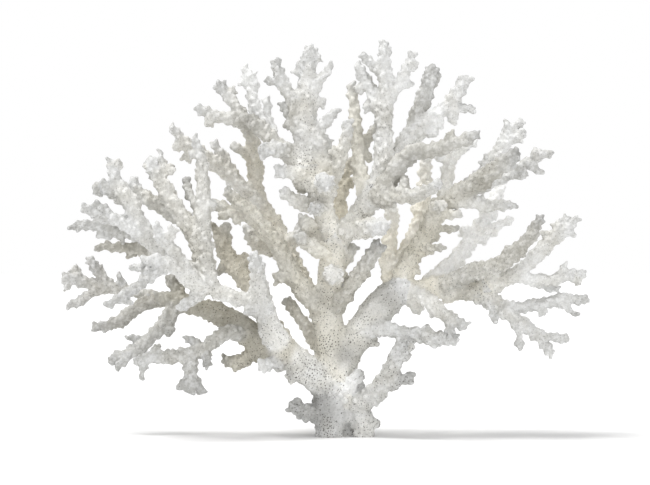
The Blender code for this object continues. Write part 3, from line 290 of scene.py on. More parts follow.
    ], "knobs": [(46, 180, 0, 3.8)]},
    "right_prong": {"tone": (0.75, 0.1), "branches": [
        ([(32, 150), (41.5, 159.5), (48, 164.5), (53.5, 169.5), (57, 175), (60.5, 180.5)],
         (2, 4, 5, 5, 5, 5), (10, 8.6, 8, 8, 8, 7.4)),
        ([(51, 166), (64, 165.5)], (5, 6), (6, 4.6)),
    ], "knobs": [(53.5, 160.5, 5, 5), (47, 158, 5, 4.5), (43.5, 154, 3, 6)]},
    "front_right_arm": {"tone": (0.15, 0.45), "branches": [
        ([(17, 122), (23.5, 133), (30, 141), (36.5, 144.2), (47.5, 145.8), (56.5, 149),
          (66.8, 152.8)],
         (18, 25, 29, 33, 38, 42, 45), (11, 10, 9.6, 9, 8, 7, 5.4)),
    ], "knobs": [(53, 152.4, 41, 4.6)]},
    "front_right_finger": {"tone": (0.45, 0.4), "branches": [
        ([(16.5, 121), (26, 123), (33.5, 122), (40.5, 124.5), (47.5, 128.5)],
         (17, 27, 33, 38, 41), (9.5, 8, 7.6, 7, 5.2)),
    ], "knobs": [(29.5, 129.5, 30, 5)]},
    "right_main_limb": {"tone": (0.5, 0.4), "branches": [
        ([(-3, 26), (-1.5, 38), (4, 48.5), (10.5, 57.5), (17, 66), (23.5, 72), (30, 75.5)],
         (0, 1, 2, 3, 4, 5, 5), (18, 17, 16.5, 17, 18, 17, 15)),
    ], "knobs": [(36.5, 66.5, 5, 6.5), (14, 49, 5, 5), (19, 73, 5, 5)]},
    "right_limb_back_branch": {"tone": (0.45, 0.6), "branches": [
        ([(13, 58), (15, 61), (18, 67), (23, 73)], (2, -12, -25, -35), (10, 8.5, 7.5, 5.5)),
    ]},
    "right_low_branch": {"tone": (0.6, 0.1), "branches": [
        ([(10, 54), (20, 55.5), (28.5, 53.5), (36.5, 53), (45, 50.8), (55.5, 50.4)],
         (7, 12, 13, 15, 18, 21), (9, 8, 8, 8.4, 8.6, 7)),
    ], "knobs": [(41, 56, 16, 4)]},
    "right_base_branch": {"tone": (0.4, 0.2), "branches": [
        ([(2, 15), (13.5, 22), (19.5, 29), (24, 37), (27.5, 45), (29.5, 50.5)],
         (2, 10, 15, 20, 24, 27), (12.5, 11.2, 10.6, 10, 8.6, 6.6)),
        ([(19.5, 28), (33, 31)], (15, 20), (8.6, 6.6)),
    ], "knobs": [(32.8, 46.5, 24, 4), (30.8, 41.5, 22, 3.8)]},
    "far_right_limb": {"tone": (0.6, 0.8), "branches": [
        ([(27, 73.5), (40, 74.5), (47.5, 76.5), (55, 76), (62.5, 75), (71, 75)],
         (5, 4, 3, 3, 3, 3), (13.5, 13, 12.5, 12.5, 13, 12)),
    ], "knobs": [(51, 70.5, 4, 5)]},
    "far_right_back_branch": {"tone": (0.45, 0.6), "branches": [
        ([(48, 76), (52, 77), (56, 77.5), (62, 77)], (2, -13, -26, -36), (9.5, 8.5, 7.5, 5.5)),
    ]},
    "right_drop_branch": {"tone": (0.5, 0.35), "branches": [
        ([(34, 73), (39, 71.5), (45.5, 66.5), (52, 61.5), (60.5, 57.2)],
         (8, 14, 19, 22, 25), (9, 8.4, 7.6, 7, 5)),
        ([(51.5, 62.5), (52.5, 53.5)], (22, 24), (6.4, 5)),
    ], "knobs": [(45, 63, 20, 4)]},
    "right_back_branches": {"tone": (1.2, 0.6), "branches": [
        ([(25, 72), (22.5, 81), (21.5, 90), (22, 98), (23.2, 108), (23.5, 118)],
         (2, -8, -13, -16, -17, -17), (11, 9.6, 9, 8.4, 7.6, 6)),
        ([(23, 80), (27.5, 89), (32, 97.5), (36, 106), (38.5, 116), (39.5, 125), (40.5, 142)],
         (-7, -15, -19, -21, -22, -22, -20), (9, 8.6, 8.4, 8, 8, 7.6, 6)),
    ], "knobs": [(35, 115, -22, 4.5)]},
    "right_fan_limb": {"tone": (0.55, 0.75), "branches": [
        ([(28.5, 75), (29, 84), (34, 92.5), (39, 99), (42.5, 107), (46.5, 116), (53, 121.5)],
         (4, 2, 0, 0, 0, 0, 0), (12, 11.6, 11.4, 10.6, 10, 10, 9.8)),
        ([(46, 115), (47.5, 117)], (3, 20), (9, 7)),
        ([(45, 112), (58, 113)], (2, 11), (6.4, 4.6)),
        ([(42.5, 106), (56, 105.5)], (0, -10), (6, 4.4)),
        ([(37.5, 96), (48.8, 96)], (0, 10), (6.4, 5)),
    ], "knobs": [(45.5, 101.5, 0, 4.5), (35.5, 85, 1, 4.4)]},
    "right_fan_back_branch": {"tone": (0.45, 0.6), "branches": [
        ([(42.5, 107), (44, 110), (46, 116)], (-2, -16, -28), (7.5, 6.8, 5)),
    ]},
    "right_fan_spire": {"tone": (1.25, 0.25), "branches": [
        ([(50.5, 120), (51.2, 132.5), (52.6, 140), (57.5, 145.3), (65.5, 149)],
         (-1, -4, -5, -5, -5), (9, 7.2, 6.6, 5.8, 4.4)),
        ([(53.2, 138), (42.5, 145)], (-5, -7), (6, 4.8)),
    ]},
    "right_fan_arm": {"tone": (0.75, 0.1), "branches": [
        ([(52.5, 121), (57.5, 123.5), (65, 129.5), (71, 135.5), (76, 142), (80, 148.5), (81, 155),
          (81, 159.5)],
         (0, -1, -2, -3, -4, -5, -5, -5), (10, 9, 8.6, 8.4, 8, 7, 6, 4.6)),
        ([(81, 153.5), (89, 159.5)], (-5, -5), (5.6, 4.2)),
        ([(80, 149.5), (90.5, 154)], (-5, -3), (5.6, 4.2)),
    ], "knobs": [(86.5, 150.5, -4, 4.5), (70, 139.5, -3, 4.5)]},
    "right_fan_front_arm": {"tone": (0.2, 0.5), "branches": [
        ([(53, 120.5), (61.5, 126), (67.5, 130), (74, 134.5), (80.5, 139), (86, 142.5)],
         (4, 14, 18, 21, 23, 25), (10.5, 10, 9.8, 9.6, 9, 7)),
    ], "knobs": [(70, 127, 19, 4.5)]},
    "right_fan_back_arm": {"tone": (0.55, 0.1), "branches": [
        ([(53, 120), (60, 122), (65, 125), (72.5, 128.5), (79, 132), (85.5, 135.5), (92.5, 139),
          (98, 142), (102.5, 143.5)],
         (-2, -9, -14, -15, -15, -14, -13, -12, -12), (8.5, 7.6, 7.2, 7, 6.8, 6.5, 6, 5.4, 4.4)),
        ([(78, 131), (84, 131.5), (91.5, 133.5)], (-15, -10, -6), (6, 5, 4.4)),
        ([(91, 138), (98.5, 133.5)], (-13, -11), (5.2, 4.2)),
    ], "knobs": [(95, 143.5, -12, 4.5)]},
    "right_fan_low_arm": {"tone": (0.6, 0.3), "branches": [
        ([(52, 119.5), (62.5, 118.5), (72.5, 117), (85.5, 117.5)],
         (3, 9, 12, 14), (9, 7, 6.2, 4.6)),
    ], "knobs": [(68, 120.5, 11, 4)]},
    "right_sweep_branch": {"tone": (1.3, 0.05), "branches": [
        ([(40, 75), (46.8, 81.5), (53.2, 88), (59.2, 95), (64.2, 101.5), (68.4, 108.2),
          (72.4, 114.7), (76, 122.5), (78.5, 128)],
         (1, -4, -9, -12, -15, -18, -21, -25, -28), (10, 9.6, 9.2, 9, 8.6, 8.6, 8, 7, 5.2)),
        ([(65, 104), (75, 106.5), (83, 110)], (-16, -14, -12), (6.8, 5.8, 4.4)),
    ], "knobs": [(59.5, 104.5, -15, 5), (68.5, 100.5, -16, 5), (74.5, 112, -20, 4.5),
        (75, 103, -14, 4)]},
    "far_right_front_arm": {"tone": (0.35, 0.35), "branches": [
        ([(50, 77), (62.5, 83.8), (71, 86), (78.5, 88.8), (85, 93.6), (90.5, 99.5), (94.7, 105.5),
          (98, 112)],
         (6, 14, 18, 21, 24, 26, 28, 30), (10.5, 9.6, 9, 8.6, 8, 7.2, 6.2, 4.6)),
    ], "knobs": [(82, 95.5, 23, 4.5), (76, 85, 21, 4.5)]},
    "far_right_upper_arm": {"tone": (0.65, 0.2), "branches": [
        ([(68, 75), (77.5, 80), (85, 82.5), (90, 86.5), (95, 91.5), (100, 96.5), (105.5, 101.5),
          (110.5, 106.5), (116, 110.5)],
         (3, 3, 4, 4, 5, 5, 5, 5, 5), (11, 9.6, 9, 8.4, 8.2, 7.8, 7.6, 7, 4.8)),
        ([(109, 105), (110, 112)], (5, 5), (5.6, 4.4)),
        ([(107.5, 103), (114.5, 103.5)], (5, 6), (5, 4)),
    ], "knobs": [(101.5, 94, 5, 4.2), (105, 107, 5, 4.2), (101, 103.5, 5, 4.2)]},
    "far_right_middle_arm": {"tone": (0.85, 0.1), "branches": [
        ([(84, 82), (93.5, 80.5), (100, 79.5), (106.5, 81), (112.5, 82), (119.5, 83.5)],
         (4, 1, 0, 0, 0, 0), (8, 6.8, 6.5, 6.4, 6, 4.8)),
        ([(92.5, 80), (100, 77), (106.5, 75.3)], (1, -4, -6), (6.4, 5.8, 5)),
    ], "knobs": [(109, 86, 0, 4.4), (116.5, 79, 0, 4.2)]},
    "far_right_lower_arm": {"tone": (0.65, 0.1), "branches": [
        ([(68, 73), (74.5, 69), (80.3, 64.8), (85.5, 60.5), (90.5, 56.5), (95.5, 53), (99.5, 48.5),
          (103.5, 43)],
         (3, 6, 8, 9, 10, 10, 10, 10), (11, 9.2, 8.6, 8.2, 7.6, 7, 6, 4.4)),
        ([(95.5, 53), (102.5, 51.5), (112, 51)], (10, 11, 12), (5.4, 4.8, 4)),
        ([(86.5, 59.5), (87.5, 46)], (9, 12), (5.6, 4)),
        ([(73.5, 70), (74.5, 59.5)], (6, 9), (6, 4.2)),
    ], "knobs": [(84, 57.5, 9, 4)]},
    "far_right_low_arm": {"tone": (0.6, 0.0), "branches": [
        ([(79, 66), (87, 66.2), (93.5, 67.4), (100, 68.6), (108, 70), (115, 70.5), (121, 70.5)],
         (8, 4, 2, 2, 3, 4, 4), (8, 7, 6.8, 6.6, 6.4, 6, 5)),
        ([(107, 69), (115.5, 62.5)], (4, 6), (5, 4)),
    ], "knobs": [(99, 64, 4, 4)]},
}


# Camera, as far in front of the coral as the drawing is seen from
view = {
    "sensor": 36.0,             # mm
    "frameWidthSeen": 325.0,    # mm from side to side at the foot's middle
    "clipEnd": 20.0,            # m
}


def makeCamera():
    data = bpy.data.cameras.new("photoCamera")
    data.sensor_width = view["sensor"]
    data.lens = view["sensor"] * drawing["distance"] / view["frameWidthSeen"]
    data.clip_end = view["clipEnd"]
    camera = bpy.data.objects.new("photoCamera", data)
    camera.location = (
        drawing["across"] * mm, -drawing["distance"] * mm, (drawing["up"] - drawing["cutUp"]) * mm)
    camera.rotation_euler = (math.radians(90.0), 0.0, 0.0)
    bpy.context.scene.collection.objects.link(camera)
    bpy.context.scene.camera = camera


# Routes
core = {
    "routeStep": 2.0,       # mm between two points of a centre line
    "rootFlare": 1.15,      # a branch is this much wider where it starts
    "tipBack": 0.35,        # the round end starts this share of a radius short of the tip
    "cupRoom": 0.72,        # mm of a branch's radius that is left to the cups
    "voxel": 0.9,           # mm
    "smoothRounds": 5,
    "domeAngles": (30, 55, 78),     # degrees from the side of a round end
    "stubFromTip": 12.0,    # mm, so that a knob isn't coloured as a tip
    "bevelSteps": 3,        # how round the tubes are
    "weld": 1e-7,           # m
}


def placePoint(across, up, forward):
    # a point of the drawing in the coral's own frame, in mm
    shrink = (drawing["distance"] - forward) / drawing["distance"]
    return Vector((
        drawing["across"] + (across - drawing["across"]) * shrink,
        -forward,
        drawing["up"] + (up - drawing["up"]) * shrink - drawing["cutUp"],
    ))


def spreadValue(values, index, count):
    position = index / (count - 1) * (len(values) - 1)
    low = min(int(position), len(values) - 2)
    return values[low] + (values[low + 1] - values[low]) * (position - low)


def curveThrough(before, start, end, after, t):
    # a smooth curve from start to end, which also heeds the points on either side of them
    return 0.5 * (
        2.0 * start
        + (end - before) * t
        + (2.0 * before - 5.0 * start + 4.0 * end - after) * t * t
        + (3.0 * start - before - 3.0 * end + after) * t * t * t
    )


def smoothRoute(branch):
    # the branch's centre line as (point, radius) pairs from root to tip, in mm
    route, forward, thickness = branch
    count = len(route)
    points = [placePoint(*place, spreadValue(forward, i, count)) for i, place in enumerate(route)]
    radii = [spreadValue(thickness, i, count) / 2.0 - core["cupRoom"] for i in range(count)]
    points[-1] += (points[-2] - points[-1]).normalized() * radii[-1] * core["tipBack"]
    line = [(points[0], radii[0] * core["rootFlare"])]
    for i in range(count - 1):
        before, after = points[max(i - 1, 0)], points[min(i + 2, count - 1)]
        start, end = points[i], points[i + 1]
        steps = max(2, round((end - start).length / core["routeStep"]))
        for step in range(1, steps + 1):
            t = step / steps
            radius = radii[i] + (radii[i + 1] - radii[i]) * t
            line.append((curveThrough(before, start, end, after, t), radius))
    return line


def domed(line):
    # the line with a round end
    (before, _), (tip, radius) = line[-2], line[-1]
    ahead = (tip - before).normalized()
    dome = []
    for angle in core["domeAngles"]:
        turn = math.radians(angle)
        dome.append((tip + ahead * radius * math.sin(turn), radius * math.cos(turn)))
    return line + dome


def knobLine(knob, lines):
    # a short stub out of the nearest branch of its limb
    across, up, ahead, thickness = knob
    centre = placePoint(across, up, ahead)
    onBranches = (point for line in lines for point, _ in line)
    nearest = min(onBranches, key=lambda point: (point - centre).length)
    radius = thickness / 2.0
    return [(nearest, radius), (centre, radius)]


def tubesMesh(name, tubes, bevelSteps):
    # one mesh of round tubes with closed ends, in metres
    curve = bpy.data.curves.new(name, "CURVE")
    curve.dimensions = "3D"
    curve.bevel_depth = mm
    curve.bevel_resolution = bevelSteps
    curve.use_fill_caps = True
    for line in tubes:
        spline = curve.splines.new("POLY")
        spline.points.add(len(line) - 1)
        for point, (centre, radius) in zip(spline.points, line):
            point.co = (*(centre * mm), 1.0)
            point.radius = radius
    holder = bpy.data.objects.new(name, curve)
    bpy.context.scene.collection.objects.link(holder)
    depsgraph = bpy.context.evaluated_depsgraph_get()
    mesh = bpy.data.meshes.new_from_object(holder.evaluated_get(depsgraph))
    bpy.data.objects.remove(holder)
    bpy.data.curves.remove(curve)
    return mesh


def fusedSkin(name, meshes, voxel, rounds):
    # one closed skin round everything in the meshes, with the voxel in mm
    body = bmesh.new()
    for mesh in meshes:
        body.from_mesh(mesh)
        bpy.data.meshes.remove(mesh)
    bmesh.ops.remove_doubles(body, verts=body.verts, dist=core["weld"])
    mesh = bpy.data.meshes.new(name)
    body.to_mesh(mesh)
    body.free()
    holder = bpy.data.objects.new(name, mesh)
    bpy.context.scene.collection.objects.link(holder)
    remesh = holder.modifiers.new("skin", "REMESH")
    remesh.mode = "VOXEL"
    remesh.voxel_size = voxel * mm
    soften = holder.modifiers.new("soften", "SMOOTH")
    soften.iterations = rounds
    depsgraph = bpy.context.evaluated_depsgraph_get()
    skin = bpy.data.meshes.new_from_object(holder.evaluated_get(depsgraph))
    bpy.data.objects.remove(holder)
    bpy.data.meshes.remove(mesh)
    return skin


# Cups: the raised corallites that turn round each branch and lean towards its tip
cups = {
    "seed": 11,
    "spacing": 3.5,             # mm
    "fewerOnThick": 0.75,       # share of the cups that a thick branch lacks
    "turn": math.radians(137.5),
    "turnSlack": 0.5,
    "thinBranch": 3.4,          # mm, radius
    "thickBranch": 7.5,
    "radius": (0.72, 1.15),     # mm, from narrow to wide
    "height": (1.4, 0.55),      # mm, on a thin branch and on a thick one
    "heightSlack": (-0.35, 0.25),
    "lean": (52, 32),           # degrees towards the tip, on a thin branch and on a thick one
    "patchSize": 16.0,          # mm, size of the smoother and rougher patches
    "patchHeight": 0.6,
    "rootDepth": 1.6,           # mm that a cup starts below the surface
    "rootWidth": 1.5,           # share of its radius, as are the widths below
    # mm past the mouth, and the width there
    "profile": ((-0.6, 1.1), (0.0, 0.8), (0.25, 0.45)),
    "mouthBack": 0.2,           # mm that the mouth lies below the cup's height
    "bevelSteps": 1,
}


def ramp(value, low, high):
    return min(max((value - low) / (high - low), 0.0), 1.0)


def between(pair, share):
    return pair[0] + (pair[1] - pair[0]) * share


def growCups(line, dice):
    # root, mouth, direction, radius and how thick the branch is there, for each cup of one branch
    grown = []
    angle = dice.uniform(0.0, math.tau)
    owed = dice.random()
    for (start, radius), (end, _) in zip(line, line[1:]):
        length = (end - start).length
        along = (end - start).normalized()
        side = along.orthogonal().normalized()
        other = along.cross(side)
        thick = ramp(radius, cups["thinBranch"], cups["thickBranch"])
        area = length * math.tau * radius
        owed += area * (1.0 - cups["fewerOnThick"] * thick) / cups["spacing"] ** 2
        while owed >= 1.0:
            owed -= 1.0
            angle += cups["turn"] + dice.uniform(-1.0, 1.0) * cups["turnSlack"]
            centre = start + (end - start) * dice.random()
            outward = side * math.cos(angle) + other * math.sin(angle)
            lean = math.radians(between(cups["lean"], thick))
            direction = (outward * math.cos(lean) + along * math.sin(lean)).normalized()
            patch = cups["patchHeight"] * noise.noise(centre / cups["patchSize"])
            height = between(cups["height"], thick)
            height *= 1.0 + patch + dice.uniform(*cups["heightSlack"])
            surface = centre + outward * radius
            root = surface - direction * cups["rootDepth"]
            mouth = surface + direction * (height - cups["mouthBack"])
            grown.append((root, mouth, direction, dice.uniform(*cups["radius"]), thick))
    return grown


def cupLine(cup):
    root, mouth, direction, radius, _ = cup
    line = [(root, radius * cups["rootWidth"])]
    return line + [(mouth + direction * past, radius * width) for past, width in cups["profile"]]


# The finished skin
fineSkin = {
    "voxel": 0.61,              # mm
    "quickVoxel": 0.85,
    "smoothRounds": 1,
    "ownerMargin": 6.0,         # mm from a branch's surface within which the skin can be its own
    "ownerRounds": 4,
    "rimInset": 1.5,            # mm that a parted piece's closed end reaches in
    "toneRounds": 50,
    "tipFade": 6.0,             # mm
    # share of the painted shade and dust in the hollows that the thickest branches keep
    "thickCreaseShade": 0.4,         # how dark the hollows are on the thickest branches
    "wornReach": (48.0, 72.0),  # mm from the foot's middle, fully worn within the first
}


def vertexNormals(points, quads):
    first = points[quads[:, 2]] - points[quads[:, 0]]
    second = points[quads[:, 3]] - points[quads[:, 1]]
    faceNormals = np.cross(first, second)
    normals = np.zeros_like(points)
    for corner in range(4):
        np.add.at(normals, quads[:, corner], faceNormals)
    lengths = np.linalg.norm(normals, axis=1, keepdims=True)
    return normals / np.maximum(lengths, 1e-12)


def readSkin(mesh):
    points = np.empty(len(mesh.vertices) * 3, np.float32)
    mesh.vertices.foreach_get("co", points)
    corners = np.empty(len(mesh.loops), np.int32)
    mesh.loops.foreach_get("vertex_index", corners)
    return points.reshape(-1, 3).astype(np.float64) / mm, corners.reshape(-1, 4)


def keepOuterSkin(points, quads):
    # drops the closed bubbles that the fusing leaves inside
    groups = islandsOf(quadNeighbours(quads), np.zeros(len(quads), np.int32))
    kept = quads[groups == np.bincount(groups).argmax()]
    used, renumbered = np.unique(kept, return_inverse=True)
    return points[used], renumbered.reshape(-1, 4)


def quadNeighbours(quads):
    # the face across each of a face's four edges, or -1
    ends = np.roll(quads, -1, axis=1)
    low = np.minimum(quads, ends).ravel().astype(np.int64)
    high = np.maximum(quads, ends).ravel().astype(np.int64)
    key = low * (int(quads.max()) + 1) + high
    order = np.argsort(key, kind="stable")
    sortedKey = key[order]
    same = sortedKey[1:] == sortedKey[:-1]
    face = order // 4
    neighbours = np.full(quads.size, -1, np.int64)
    first, second = order[:-1][same], order[1:][same]
    neighbours[first] = face[1:][same]
    neighbours[second] = face[:-1][same]
    return neighbours.reshape(-1, 4)


def islandsOf(neighbours, labels):
    # numbers the connected groups of faces with one label
    near = neighbours.tolist()
    label = labels.tolist()
    group = [-1] * len(label)
    number = 0
    for seed in range(len(label)):
        if group[seed] >= 0:
            continue
        group[seed] = number
        waiting = [seed]
        while waiting:
            face = waiting.pop()
            for other in near[face]:
                if other >= 0 and group[other] < 0 and label[other] == label[face]:
                    group[other] = number
                    waiting.append(other)
        number += 1
    return np.array(group)


def nearestLimb(places, limbLines):
    # for each place: the limb whose branch is nearest, how far off the branch's tip is, its radius
    # there and the way to its tip, in mm
    best = np.full(len(places), np.inf)
    owner = np.zeros(len(places), np.int32)
    fromTip = np.zeros(len(places))
    nearRadius = np.zeros(len(places))
    tipward = np.zeros((len(places), 3))
    for number, lines in enumerate(limbLines.values()):
        for line in lines:
            centres = np.array([tuple(point) for point, _ in line])
            radii = np.array([radius for _, radius in line])
            reach = radii.max() + fineSkin["ownerMargin"]
            low, high = centres.min(0) - reach, centres.max(0) + reach
            inside = np.nonzero(((places > low) & (places < high)).all(1))[0]
            if not len(inside):
                continue
            subset = places[inside]
            lengths = np.linalg.norm(np.diff(centres, axis=0), axis=1)
            left = lengths[::-1].cumsum()[::-1]
            for i in range(len(line) - 1):
                step = centres[i + 1] - centres[i]
                t = np.clip((subset - centres[i]) @ step / (step @ step), 0.0, 1.0)
                gap = np.linalg.norm(subset - centres[i] - t[:, None] * step, axis=1)
                gap -= radii[i] + (radii[i + 1] - radii[i]) * t
                closer = gap < best[inside]
                chosen = inside[closer]
                best[chosen] = gap[closer]
                owner[chosen] = number
                stub = core["stubFromTip"] if len(line) == 2 else 0.0
                fromTip[chosen] = (left[i] - lengths[i] * t)[closer] + stub
                nearRadius[chosen] = radii[i]
                tipward[chosen] = step / lengths[i]
    return owner, fromTip, nearRadius, tipward


def tidyOwners(quads, owner):
    # small islands of one limb inside another go to a limb beside them
    neighbours = quadNeighbours(quads)
    for _ in range(fineSkin["ownerRounds"]):
        groups = islandsOf(neighbours, owner)
        sizes = np.bincount(groups)
        groupOwner = np.zeros(len(sizes), np.int64)
        groupOwner[groups] = owner
        keep = np.zeros(len(sizes), bool)
        for limb in range(owner.max() + 1):
            own = np.nonzero(groupOwner == limb)[0]
            if len(own):
                keep[own[sizes[own].argmax()]] = True
        if keep.all():
            break
        owner = np.where(keep[groups], owner, -1)
        while (owner < 0).any():
            bare = np.nonzero(owner < 0)[0]
            around = np.where(neighbours[bare] >= 0, owner[neighbours[bare]], -1)
            owner[bare] = around.max(1)
            if (owner[bare] < 0).all():
                break
    return owner


lumps = {
    "everywhere": ((7.0, 0.7), (3.1, 0.42)),    # size and height in mm
    "atFoot": (3.0, 0.75),
    "footReach": (30.0, 60.0),  # mm up, where the foot's own lumps begin to fade and end
}


def addLumps(points, normals):
    # soft lumps that keep the branches from being plain tubes, and a rougher foot
    heights = np.zeros(len(points))
    for size, height in lumps["everywhere"]:
        heights += [height * noise.noise(Vector(place) / size) for place in points.tolist()]
    size, height = lumps["atFoot"]
    low, high = lumps["footReach"]
    for i in np.nonzero(points[:, 2] < high)[0].tolist():
        heights[i] += height * noise.noise(Vector(points[i]) / size) * ramp(points[i, 2], high, low)
    return points + normals * heights[:, None]


pits = {
    "reach": 0.62,              # mm from a cup's axis
    "depth": 0.5,
    "facing": 0.3,              # the least that the skin faces the cup's way
    "dark": (0.4, 1.0),         # on a thin branch and on a thick one
    "clearance": 1.1,           # mm from a cup's mouth that stays free of beads
}


def openPits(points, normals, tree, cupsGrown):
    # the pit in the mouth of each cup: where the points go, how much of a pore each one is, how
    # far it is out of the hollows, and whether it is too near a cup for a bead
    moved = points.copy()
    pore = np.zeros(len(points))
    raised = np.zeros(len(points))
    covered = np.zeros(len(points), bool)
    for _, mouth, direction, _, thick in cupsGrown:
        axis = np.array(direction)
        for place, i, _ in tree.find_range(mouth, pits["clearance"]):
            covered[i] = True
            raised[i] = 1.0
            offset = np.array(place - mouth)
            aside = np.linalg.norm(offset - axis * (offset @ axis))
            share = 1.0 - aside / pits["reach"]
            if share > pore[i] and normals[i] @ axis > pits["facing"]:
                moved[i] = points[i] - axis * pits["depth"] * share
                pore[i] = share * between(pits["dark"], thick)
    return moved, pore, raised, covered


beads = {
    "seed": 5,
    "spacing": (1.85, 1.5),     # mm, on a thin branch and on a thick one
    "spacingSlack": (0.8, 1.2),
    "height": (0.34, 0.36),     # mm, on a thin branch and on a thick one
    "heightSlack": (0.6, 1.3),
    "radius": 0.95,             # mm
    "radiusSlack": (0.75, 1.15),
    "lean": 0.6,                # how far a bead leans towards the tip
    "atTip": (0.55, 1.0),       # share of the height, at a tip and beyond the fade
    "tipFade": (2.0, 12.0),     # mm from the tip
}
beadPores = {
    "depth": 0.7,               # mm
    "dark": (0.45, 1.0),        # on a thin branch and on a thick one
    "darkSlack": (0.75, 1.0),
    "patchSize": 12.0,          # mm
    "patchEdges": (-0.25, 0.3),
    "patchDark": (0.55, 1.0),   # in the plainer patches and in the more open ones
    "atTip": (0.3, 1.0),
    "tipFade": (3.0, 16.0),     # mm from the tip
}


def raiseBeads(points, normals, tree, skin, thick, fromTip, tipward):
    # small leaning beads between the cups, each with a pore in its top that is wider and darker
    # on the thick branches; the skin is what openPits gives
    moved, pore, raised, covered = skin
    dice = np.random.default_rng(beads["seed"])
    for i in dice.permutation(len(points)).tolist():
        if covered[i]:
            continue
        apart = between(beads["spacing"], thick[i]) * dice.uniform(*beads["spacingSlack"])
        rise = between(beads["height"], thick[i]) * dice.uniform(*beads["heightSlack"])
        rise *= between(beads["atTip"], ramp(fromTip[i], *beads["tipFade"]))
        lift = (normals[i] + tipward[i] * beads["lean"]) * rise
        reach = beads["radius"] * dice.uniform(*beads["radiusSlack"])
        for _, other, gap in tree.find_range(Vector(points[i]), apart):
            covered[other] = True
            if gap < reach:
                share = 1.0 - (gap / reach) ** 2
                moved[other] += lift * share
                raised[other] = max(raised[other], share)
        cloud = noise.noise(Vector(points[i]) / beadPores["patchSize"])
        dark = between(beadPores["dark"], thick[i])
        dark *= between(beadPores["patchDark"], ramp(cloud, *beadPores["patchEdges"]))
        dark *= dice.uniform(*beadPores["darkSlack"])
        dark *= between(beadPores["atTip"], ramp(fromTip[i], *beadPores["tipFade"]))
        moved[i] -= normals[i] * beadPores["depth"] * dark
        pore[i] = dark
    return moved, pore, raised


def spreadOverSkin(values, quads, rounds):
    # softens values along the skin, so that limbs change colour gently where they meet
    starts = quads.ravel()
    ends = np.roll(quads, -1, axis=1).ravel()
    count = len(values)
    share = np.bincount(starts, minlength=count) + np.bincount(ends, minlength=count)
    for _ in range(rounds):
        total = np.bincount(starts, values[ends], count) + np.bincount(ends, values[starts], count)
        values = 0.5 * values + 0.5 * total / np.maximum(share, 1)
    return values


def cutFoot(points, quads):
    # takes away what lies below the cut, and flattens its rim
    above = (points[quads][:, :, 2] > 0.0).any(1)
    points[:, 2] = np.maximum(points[:, 2], 0.0)
    return points, quads[above]


def openRims(body):
    # the open edges of a piece as closed rings of point numbers
    after = {}
    for edge in body.edges:
        if edge.is_boundary:
            loop = edge.link_loops[0]
            after.setdefault(loop.vert.index, []).append(loop.link_loop_next.vert.index)
    rims = []
    while after:
        start = next(iter(after))
        rim = [start]
        while True:
            choices = after[rim[-1]]
            following = choices.pop()
            if not choices:
                del after[rim[-1]]
            if following == start:
                break
            rim.append(following)
        rims.append(rim)
    return rims


def onGround(verts):
    return max(vert.co.z for vert in verts) <= 0.0


def closeRims(mesh, normals, inset):
    # each rim turns inward and then closes, so no closing face shows; the foot's cut is flat
    body = bmesh.new()
    body.from_mesh(mesh)
    rims = openRims(body)
    body.verts.ensure_lookup_table()
    rimVerts = [[body.verts[i] for i in rim] for rim in rims]
    for rim, outer in zip(rims, rimVerts):
        if onGround(outer):
            edges = [edge for edge in body.edges if edge.is_boundary and onGround(edge.verts)]
            filled = bmesh.ops.holes_fill(body, edges=edges, sides=0)["faces"]
            bmesh.ops.triangulate(body, faces=filled)
            continue
        inwards = [Vector(normals[i].tolist()) * inset for i in rim]
        inner = [body.verts.new(vert.co - inward) for vert, inward in zip(outer, inwards)]
        centre = body.verts.new(sum((vert.co for vert in inner), Vector()) / len(inner))
        for k, vert in enumerate(outer):
            following = (k + 1) % len(outer)
            body.faces.new((outer[following], vert, inner[k], inner[following]))
            body.faces.new((inner[following], inner[k], centre))
    body.to_mesh(mesh)
    body.free()


def setNormals(mesh, normals, ownFaces):
    # the whole skin's normals on the outside, so that no seam shows, and plain ones on the ends
    corners = np.empty(len(mesh.loops), np.int32)
    mesh.loops.foreach_get("vertex_index", corners)
    sides = np.empty(len(mesh.polygons), np.int32)
    mesh.polygons.foreach_get("loop_total", sides)
    flat = np.empty(len(mesh.polygons) * 3, np.float32)
    mesh.polygons.foreach_get("normal", flat)
    perCorner = np.repeat(flat.reshape(-1, 3), sides, axis=0).astype(np.float64)
    outside = np.repeat(np.arange(len(sides)) < ownFaces, sides)
    perCorner[outside] = normals[corners[outside]]
    mesh.normals_split_custom_set(perCorner.tolist())


def closedPiece(name, points, quads, normals, masks):
    # one limb's share of the skin, closed where it was parted from its neighbours
    used, renumbered = np.unique(quads, return_inverse=True)
    mesh = bpy.data.meshes.new(name)
    mesh.from_pydata((points[used] * mm).tolist(), [], renumbered.reshape(-1, 4).tolist())
    for key, mask in masks.items():
        layer = mesh.attributes.new(key, "FLOAT", "POINT")
        layer.data.foreach_set("value", mask[used].astype(np.float32))
    closeRims(mesh, normals[used], fineSkin["rimInset"] * mm)
    mesh.shade_smooth()
    setNormals(mesh, normals[used], len(quads))
    piece = bpy.data.objects.new(name, mesh)
    bpy.context.scene.collection.objects.link(piece)
    return piece
